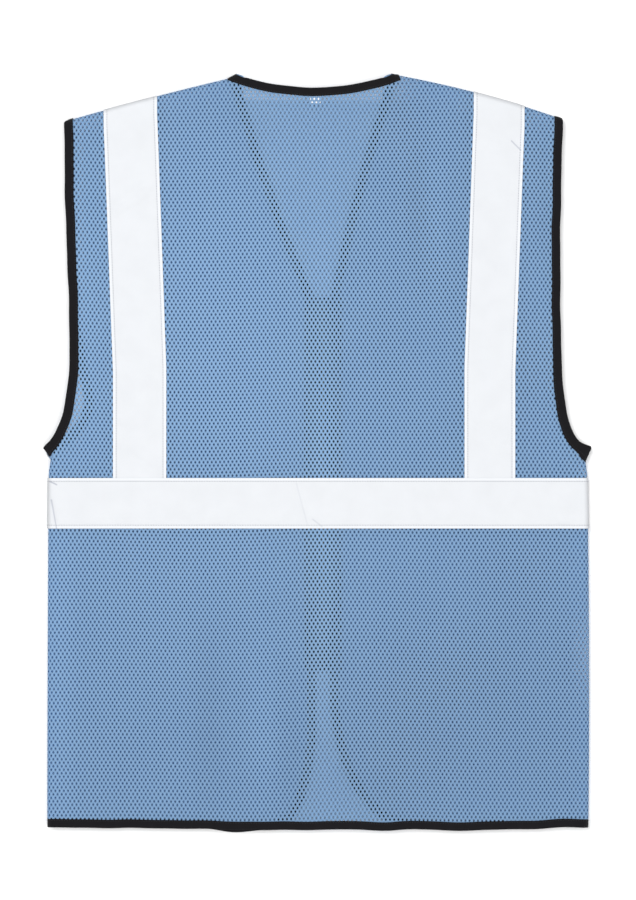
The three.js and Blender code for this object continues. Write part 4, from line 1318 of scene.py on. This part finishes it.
class VEST_OT_bindings(bpy.types.Operator):
    """Makes the black binding round the neck, armholes, front edges and hem, with its stitching"""

    bl_idname = "vest.bindings"
    bl_label = "Bindings"

    def execute(self, context):
        pattern = Pattern()
        self.pattern = pattern
        self.seams = []
        self.neck()
        self.hem()
        for label, side in SIDES.items():
            self.armhole(label, side)
            self.front(label, side)
        trim = pattern.trim
        piece = seam_stitches("binding_stitches", self.seams, trim.stitch_pitch, trim.stitch_width, thread_dark())
        replace_with(piece, "binding")
        return {"FINISHED"}

    def bind(self, name, path, inwards, front, node, extra=()):
        """Carries the binding's section along flat places of its outer edge, over the cloth's own surface"""
        trim = self.pattern.trim
        depth = 2 * STACK + 0.1 * MM
        profile = np.array(binding_profile(trim.binding_width, trim.binding_wall, depth))
        reach = trim.binding_width - 1.5 * MM
        path = self.uneven(path, inwards)
        ring = self.on_cloth(path, inwards, front, profile)
        for more_path, more_inwards, more_front in extra:
            ring = np.concatenate([ring, self.on_cloth(more_path, more_inwards, more_front, profile)])
        piece = sweep_binding(name, ring, binding_cloth())
        replace_with(piece, "binding", node)
        top = int(np.argmin(np.abs(profile[:8, 0] - reach)))
        for row in (top, None):
            lift = depth / 2 + trim.binding_wall + 0.1 * MM
            section = np.array([[reach, lift if row is not None else -lift]])
            line = self.on_cloth(path, inwards, front, section)
            for more_path, more_inwards, more_front in extra:
                line = np.concatenate([line, self.on_cloth(more_path, more_inwards, more_front, section)])
            self.seams.append(line[:, 0])

    def on_cloth(self, path, inwards, front, profile):
        """Points of the section at each place of the path. The lift turns over between back and front."""
        scale = np.linalg.norm(inwards, axis=1)[:, None, None]
        direction = inwards[:, None] / scale
        width = self.pattern.trim.binding_width
        across = profile[None, :, :1] * (1 + (scale - 1) * np.clip(profile[None, :, :1] / width, 0, 1))
        flat = path[:, None] + direction * across
        lifts = profile[None, :, 1] + np.zeros(flat.shape[:2])
        return self.pattern.place(flat[..., 0], flat[..., 1], front, lifts[..., None])[0]

    def uneven(self, path, inwards):
        """A binding is sewn on by hand and eye, so it is never quite straight"""
        run = np.concatenate([[0], np.cumsum(np.linalg.norm(np.diff(path, axis=0), axis=1))])
        sway = 0.22 * MM * (np.sin(run / (11 * MM)) + np.sin(run / (6.1 * MM) + 1.0) * 0.6)
        return path + unit(inwards) * sway[:, None]

    def neck(self):
        pattern = self.pattern
        body = pattern.body
        half = body.neck_width / 2
        x = body.neck_shift + np.linspace(-half, half, 90)
        path = along_path(np.stack([x, pattern.top_outline(x)], axis=-1), 3 * MM)
        path = self.run_on(path, 8 * MM)
        towards = np.array([body.neck_shift, body.body_length - 0.5])
        self.bind("neck_binding_cloth", path, into_cloth(path, towards), False, "neck_binding")

    def run_on(self, path, more, both=True):
        """A path that runs straight on past its ends"""
        steps = np.linspace(more / 4, more, 4)[:, None]
        last = path[-1] + unit(path[-1] - path[-3]) * steps
        if not both:
            return np.concatenate([path, last])
        first = path[0] + unit(path[0] - path[2]) * steps[::-1]
        return np.concatenate([first, path, last])

    def hem(self):
        pattern = self.pattern
        ends = [float(pattern.side_outline(side, 0.0)) - side["sign"] * 1.0 * MM for side in SIDES.values()]
        x = np.linspace(ends[0], ends[1], 120)
        path = np.stack([x, pattern.hem_line(x)], axis=-1)
        self.bind("hem_binding_cloth", path, into_cloth(path, np.array([0, 0.3])), False, "hem_binding_back")

    def armhole(self, label, side):
        """Up the back, over the shoulder and down the front, with the ends flared and run on at the underarm"""
        pattern = self.pattern
        body = pattern.body
        paths = []
        for front in (False, True):
            end = body.underarm + side["binding_end"]
            y = np.linspace(end, float(pattern.tip_height) + 0.5 * MM, 400)
            flat = np.stack([pattern.armhole(side, y, front), y], axis=-1)
            tip = y > y[-1] - 7 * MM
            path = np.concatenate([along_path(flat[~tip], 3 * MM), along_path(flat[tip], 0.7 * MM)])
            over = path[-1] + np.linspace(0.8 * MM, pattern.extra + 1.2 * MM, 4)[:, None] * [0, 1]
            path = np.concatenate([path, over])
            path = self.run_on(path[::-1], side["binding_run_on"], both=False)[::-1]
            inwards = into_cloth(path, np.array([0, body.underarm + pattern.armhole_depth / 2]))
            spread = mix(*side["binding_spread"], ease(1 - (path[:, 1] - body.underarm - 30 * MM) / (90 * MM)))
            flare = spread + 0.25 * np.clip(1 - (path[:, 1] - end) / (10 * MM), 0, 1) ** 2
            near_tip = np.clip((path[:, 1] - y[-1]) / side["tip_round"] + 1, 0, 1)
            tuck = side["tip_round"] * (1 - np.sqrt(1 - 0.96 * near_tip * near_tip))
            tuck -= side["flare_out"] * np.clip(1 - (path[:, 1] - end) / (8 * MM), 0, 1) ** 2
            flare -= tuck / pattern.trim.binding_width
            paths.append((path + inwards * tuck[:, None], inwards * flare[:, None]))
        back, front = paths
        name = f"armhole_binding_cloth_{label}"
        extra = [(front[0][::-1], front[1][::-1], True)]
        self.bind(name, back[0], back[1], False, f"armhole_binding_{label}", extra)

    def front(self, label, side):
        pattern = self.pattern
        body = pattern.body
        sign = side["sign"]
        corner_x = pattern.zip_side(side) + sign * side["corner_width"]
        start_x = float(pattern.side_outline(side, 0.0)) - sign * 1.0 * MM
        x = np.linspace(start_x, corner_x, 90)
        hem = np.stack([x, pattern.hem_line(x) - pattern.hem_dip(x)], axis=-1)
        angle = np.linspace(math.pi / 2, 0, 60)[1:]
        arc_x = pattern.zip_side(side) + sign * side["corner_width"] * (1 - np.cos(angle))
        arc = np.stack([arc_x, side["corner_height"] * (1 - np.sin(angle))], axis=-1)
        top = body.body_length + pattern.extra
        y = np.concatenate([
            np.linspace(side["corner_height"], pattern.v_bottom - 4 * MM, 60)[1:],
            np.linspace(pattern.v_bottom + 4 * MM, top, 60),
        ])
        opening = np.stack([pattern.front_outline(side, y), y], axis=-1)
        path = along_path(np.concatenate([hem, arc, opening]), 4 * MM)
        inwards = into_cloth(path, np.array([sign * 0.15, 0.35]))
        self.bind(f"front_binding_cloth_{label}", path, inwards, True, f"front_binding_{label}")


class VEST_OT_zip(bpy.types.Operator):
    """Makes the closed front zip: its tapes, coil teeth and slider"""

    bl_idname = "vest.zip"
    bl_label = "Zip"

    def execute(self, context):
        pattern = Pattern()
        body = pattern.body
        top = pattern.v_bottom + 3 * MM
        bottom = body.zip_end
        z = -pattern.radius + 0.4 * MM
        half = body.zip_gap / 2 + 11.3 * MM
        tape = woven("zip_tape", settings()[3].zip, 0.5 * MM, 0.8, 0.05, 0.3, 0.12)
        for sign in (-1, 1):
            x = body.zip_shift + sign * np.array([0.7, 1.2, 3, 6, 12, half / MM]) * MM
            y = np.linspace(bottom, top, 40)
            grid_x, grid_y = np.meshgrid(x, y)
            points = np.stack([grid_x, grid_y, z + 0 * grid_x], axis=-1)
            normals = np.zeros_like(points) + [0, 0, -1.0]
            flat = np.stack([grid_x, grid_y], axis=-1)
            name = "zip_tape_left" if sign < 0 else "zip_tape_right"
            piece = ribbon(name, points, normals, 0.4 * MM, tape, flat)
            replace_with(piece, "zip")
        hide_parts("front_zip")
        coil = self.teeth(body.zip_shift, bottom, top - 15 * MM, z)
        replace_with(coil, "zip")
        slider = self.slider(body.zip_shift, top - 14 * MM, z)
        replace_with(slider, "zip")
        return {"FINISHED"}

    def teeth(self, x, bottom, top, z):
        """Moulded teeth, alternating from the two tapes"""
        colours = settings()[3]
        curve = bpy.data.curves.new("zip_line", "CURVE")
        curve.dimensions = "3D"
        spline = curve.splines.new("POLY")
        spline.points.add(1)
        ends = to_frame([(x, bottom, z), (x, top, z)])
        spline.points.foreach_set("co", np.c_[ends, np.ones(2)].ravel())
        source = bpy.data.objects.new("zip_line", curve)
        bpy.context.collection.objects.link(source)
        material = plain("zip_teeth", colours.binding, 0.35)

        def build(tree, ports):
            walk = tree.node(
                "GeometryNodeCurveToPoints",
                {"mode": "LENGTH"},
                {"Curve": ports["Geometry"], "Length": ports["Tooth pitch"]},
            )
            block = tree.node(
                "GeometryNodeMeshCube",
                {},
                {"Size": tree.node("ShaderNodeCombineXYZ", {}, (ports["Tooth length"], 0.00085, 0.0016))},
            )
            index = tree.node("GeometryNodeInputIndex")
            side = (index % 2) * 2 - 1
            offset = tree.node("ShaderNodeCombineXYZ", {}, (side * 0.0008, 0.0, 0.0))
            moved = tree.node("GeometryNodeSetPosition", {}, {"Geometry": walk, "Offset": offset})
            placed = tree.node("GeometryNodeInstanceOnPoints", {}, {"Points": moved, "Instance": block})
            real = tree.node("GeometryNodeRealizeInstances", {}, {"Geometry": placed})
            return tree.node("GeometryNodeSetMaterial", {}, {"Geometry": real, "Material": material})

        mesh = run_nodes("zip_teeth", source, build, {"Tooth pitch": 0.00115, "Tooth length": 0.0034})
        bpy.data.objects.remove(source)
        mesh.name = "zip_teeth"
        piece = bpy.data.objects.new("zip_teeth", mesh)
        bpy.context.collection.objects.link(piece)
        return piece

    def slider(self, x, y, z):
        """A slider body with its pull lying down the zip, on the outside"""
        import bmesh

        material = plain("zip_slider", settings()[3].binding, 0.3, 0.4)
        work = bmesh.new()
        centre = Vector(to_frame([(x, y, z)])[0])

        def block(size, at):
            made = bmesh.ops.create_cube(work, size=1.0)
            for vert in made["verts"]:
                vert.co = Vector([vert.co[k] * size[k] * MM for k in range(3)]) + centre + Vector(at) * MM
            return made["verts"]

        body = block((7.6, 9, 0.6), (0, 0, 1.3))
        body += block((7.6, 9, 0.6), (0, 0, -1.3))
        for vert in body:
            if vert.co.y < centre.y:
                vert.co.x = centre.x + (vert.co.x - centre.x) * 0.62
        block((1.6, 3, 2.0), (0, 3.4, 0))
        block((1.8, 3.4, 0.5), (0, 0.5, -1.8))
        block((4.2, 16, 0.45), (0, -9, -1.75))
        bmesh.ops.bevel(work, geom=work.edges[:], offset=0.15 * MM, segments=2, affect="EDGES")
        bmesh.ops.recalc_face_normals(work, faces=work.faces)
        mesh = bpy.data.meshes.new("zip_slider")
        work.to_mesh(mesh)
        work.free()
        mesh.materials.append(material)
        piece = bpy.data.objects.new("zip_slider", mesh)
        bpy.context.collection.objects.link(piece)
        return piece


class VEST_OT_pockets(bpy.types.Operator):
    """Makes the mesh pockets on the outside of the fronts"""

    bl_idname = "vest.pockets"
    bl_label = "Pockets"

    def execute(self, context):
        pattern = Pattern()
        seams = []
        for label, side in SIDES.items():
            seams += self.make(pattern, label, side)
        trim = pattern.trim
        piece = seam_stitches("pocket_stitches", seams, trim.stitch_pitch, trim.stitch_width, thread_light())
        replace_with(piece, "mesh")
        return {"FINISHED"}

    def make(self, pattern, label, side):
        cut = POCKETS[label]
        sign = side["sign"]
        inner = pattern.zip_side(side) + sign * cut["inner"]
        outer = inner + sign * cut["width"]
        low = pattern.tape_top - 3 * MM

        def top_at(x):
            part = (x - inner) / (outer - inner)
            return pattern.tape_top + cut["top"] - cut["drop"] * (1 - np.clip(part, 0, 1))

        def inside(x, y):
            wide = np.minimum(sign * (x - inner), sign * (outer - x))
            return np.minimum(np.minimum(wide, y - low), top_at(x) - y) + 1 * MM

        def limit(x, y):
            x = np.clip(x, min(inner, outer), max(inner, outer))
            return x, np.clip(y, low, top_at(x))

        def closed_over(x, y):
            edge = np.minimum(sign * (x - inner), sign * (outer - x))
            return (edge < 2.5 * MM) | (top_at(x) - y < 9 * MM) | (y < low + 3 * MM)

        lift = 0.8 * MM
        piece = mesh_sheet(
            f"pocket_mesh_{label}", pattern, True, inside, closed_over, limit, (0.7 * MM, 1.9 * MM), lift
        )
        replace_with(piece, "mesh", f"chest_pocket_{label}")
        hem_inset, edge_inset = 7 * MM, 1.6 * MM
        x = np.linspace(inner + sign * edge_inset, outer - sign * edge_inset, 30)
        paths = [np.stack([x, top_at(x) - hem_inset], axis=-1)]
        for at in (inner + sign * edge_inset, outer - sign * edge_inset):
            y = np.linspace(low + 2 * MM, float(top_at(at)) - 1 * MM, 30)
            paths.append(np.stack([at + 0 * y, y], axis=-1))
        return [pattern.place(path[:, 0], path[:, 1], True, lift + 0.15 * MM)[0] for path in paths]


class VEST_OT_label(bpy.types.Operator):
    """Makes the plain neck label inside the back"""

    bl_idname = "vest.label"
    bl_label = "Neck label"

    def execute(self, context):
        pattern = Pattern()
        low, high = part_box("neck_label")
        shift = to_frame([(0, 0, 0)])[0]
        x = np.linspace(low[0] - shift[0] + 2 * MM, high[0] - shift[0] - 1.5 * MM, 12)
        y = np.linspace(low[1] - shift[1] + 0.5 * MM, high[1] - shift[1] + 4 * MM, 10)
        grid_x, grid_y = np.meshgrid(x, y)
        points, normals = pattern.place(grid_x, grid_y, False, -0.45 * MM)
        flat = np.stack([grid_x, grid_y], axis=-1)
        material = woven("label_cloth", settings()[3].label, 0.3 * MM, 0.6, 0.1, 0.06)
        piece = ribbon("label_cloth", points, normals, 0.2 * MM, material, flat)
        replace_with(piece, "label", "neck_label")
        return {"FINISHED"}


class VEST_OT_declare(bpy.types.Operator):
    """Works out the cut area of each sheet of mesh from the sizes that it was cut to"""

    bl_idname = "vest.declare"
    bl_label = "Cloth sizes"

    def execute(self, context):
        pattern = Pattern()
        body = pattern.body
        self.sheet(
            "back_mesh",
            (body.hem_width + 2 * (pattern.extra + SEAM_WRAP), body.body_length + pattern.extra + SEAM_WRAP),
            ["front_mesh_left", "front_mesh_right"],
            ["hem_binding_cloth", "neck_binding_cloth", "waist_tape_cloth_back", "label_cloth"],
        )
        for label, side in SIDES.items():
            wide = side["sign"] * (float(pattern.edge_x(side, 0.0, True)) - pattern.zip_side(side))
            trims = [f"front_binding_cloth_{label}", f"armhole_binding_cloth_{label}"]
            trims += [f"shoulder_tape_cloth_{label}", f"waist_tape_cloth_front_{label}"]
            size = (wide + pattern.extra, body.body_length + pattern.extra)
            self.sheet(f"front_mesh_{label}", size, ["floor"], trims)
            cut = POCKETS[label]
            size = (cut["width"] + 2 * MM, cut["top"] + 5 * MM)
            self.sheet(f"pocket_mesh_{label}", size, [f"front_mesh_{label}"], [])
        return {"FINISHED"}

    def sheet(self, name, size, rests_on, trims):
        """Works out the cut area of one sheet of mesh, no more than its flat width times its length"""
        area = min(CUT_AREAS[name], size[0] * size[1])


# A grey-blue card painted into the floor, all of it under the vest, in metres of the floor's own places: painted
# shade that shows through the holes
PAINTED_SHADE_CARD = {
    "steps": [(0.254, -0.02), (0.231, 0.32), (0.2, 0.33), (0.17, 0.338), (0.125, 0.349)],
    "bottom": -0.362,
    "soft": 0.005,
    "tint": (0.35, 0.46, 0.58, 1),
}


class VEST_OT_studio(bpy.types.Operator):
    """Makes the pale floor, the soft lights and the camera straight above"""

    bl_idname = "vest.studio"
    bl_label = "Studio"

    def execute(self, context):
        colours = settings()[3]
        half = 4.0
        mesh = bpy.data.meshes.new("floor")
        corners = [(-half, -half, 0), (half, -half, 0), (half, half, 0), (-half, half, 0)]
        mesh.from_pydata(corners, [], [(0, 1, 2, 3)])
        material, tree = new_material("floor_paper")
        if tree:
            place = tree.node("ShaderNodeTexCoord", {}, (), "Object")
            grain = tree.node("ShaderNodeTexNoise", {}, {"Vector": place, "Scale": 60.0, "Detail": 3.0})
            tint = tree.mix(grain, rgba(colours.floor, 0.985), rgba(colours.floor))
            across = tree.node("ShaderNodeSeparateXYZ", {}, (place,), 0)
            up = tree.node("ShaderNodeSeparateXYZ", {}, (place,), 1)
            across = tree.node("ShaderNodeMath", {"operation": "ABSOLUTE"}, (across,))
            # Painted shade under the vest, seen through the holes
            for half_width, top in PAINTED_SHADE_CARD["steps"]:
                shade_card = ((half_width - across) / PAINTED_SHADE_CARD["soft"]).clamp()
                shade_card = shade_card * ((top - up) / PAINTED_SHADE_CARD["soft"]).clamp()
                shade_card = shade_card * ((up - PAINTED_SHADE_CARD["bottom"]) / PAINTED_SHADE_CARD["soft"]).clamp()
                tint = tree.mix(shade_card, tint, PAINTED_SHADE_CARD["tint"])
            finish_surface(tree, {"Base Color": tint, "Roughness": 0.9, "Specular IOR Level": 0.1})
        mesh.materials.append(material)
        floor = bpy.data.objects.new("floor", mesh)
        bpy.context.collection.objects.link(floor)
        self.light("key", (-1.35, 1.3, 4.3), 2.4, 128)
        self.light("fill", (1.6, -1.3, 4.0), 3.0, 84)
        world = bpy.data.worlds.new("soft_world")
        world.use_nodes = True
        world.node_tree.nodes["Background"].inputs["Color"].default_value = (1, 1, 1, 1)
        world.node_tree.nodes["Background"].inputs["Strength"].default_value = 0.61
        context.scene.world = world
        context.scene.view_settings.view_transform = "Standard"
        self.camera(context)
        return {"FINISHED"}

    def light(self, name, at, size, power):
        lamp = bpy.data.lights.new(name, "AREA")
        lamp.size = size
        lamp.energy = power
        holder = bpy.data.objects.new(name, lamp)
        holder.location = at
        holder.rotation_euler = (-Vector(at)).to_track_quat("-Z", "Y").to_euler()
        bpy.context.collection.objects.link(holder)

    def camera(self, context):
        """A long lens straight above, framed as the photograph is"""
        view = bpy.data.cameras.new("camera")
        eye = bpy.data.objects.new("camera", view)
        distance = 4.0
        frame_height = 900 * 0.98 * MM
        low, high = CAD_BOX
        eye.location = ((low[0] + high[0]) / 2 + 1.2 * MM, (low[1] + high[1]) / 2 + 2.9 * MM, distance)
        view.sensor_width = 36
        view.lens = 36 * (distance - 0.011) / frame_height
        view.clip_end = 50
        context.collection.objects.link(eye)
        context.scene.camera = eye


class VEST_PT_panel(bpy.types.Panel):
    """Lists the vest's sizes and the pieces that it is built from"""

    bl_idname = "VEST_PT_panel"
    bl_label = "Mesh vest"
    bl_space_type = "VIEW_3D"
    bl_region_type = "UI"
    bl_category = "Vest"

    def draw(self, context):
        for group in ("vest_body", "vest_trim", "vest_mesh", "vest_colours"):
            settings_of = getattr(context.scene, group)
            box = self.layout.box()
            for name in settings_of.bl_rna.properties.keys():
                if name not in ("rna_type", "name"):
                    box.prop(settings_of, name)
        for operator in OPERATORS:
            self.layout.operator(operator.bl_idname)


GROUPS = {"vest_body": VestBody, "vest_trim": VestTrim, "vest_mesh": VestMesh, "vest_colours": VestColours}
OPERATORS = [
    VEST_OT_studio,
    VEST_OT_back,
    VEST_OT_fronts,
    VEST_OT_tapes,
    VEST_OT_bindings,
    VEST_OT_zip,
    VEST_OT_pockets,
    VEST_OT_label,
    VEST_OT_declare,
]


def register():
    for group in GROUPS.values():
        bpy.utils.register_class(group)
    for operator in OPERATORS:
        bpy.utils.register_class(operator)
    bpy.utils.register_class(VEST_PT_panel)
    for name, group in GROUPS.items():
        setattr(bpy.types.Scene, name, bpy.props.PointerProperty(type=group))


def unregister():
    for name in GROUPS:
        delattr(bpy.types.Scene, name)
    bpy.utils.unregister_class(VEST_PT_panel)
    for operator in reversed(OPERATORS):
        bpy.utils.unregister_class(operator)
    for group in reversed(list(GROUPS.values())):
        bpy.utils.unregister_class(group)


def main():
    register()
    for operator in OPERATORS:
        group, name = operator.bl_idname.split(".")
        getattr(getattr(bpy.ops, group), name)()


if __name__ == "__main__":
    main()
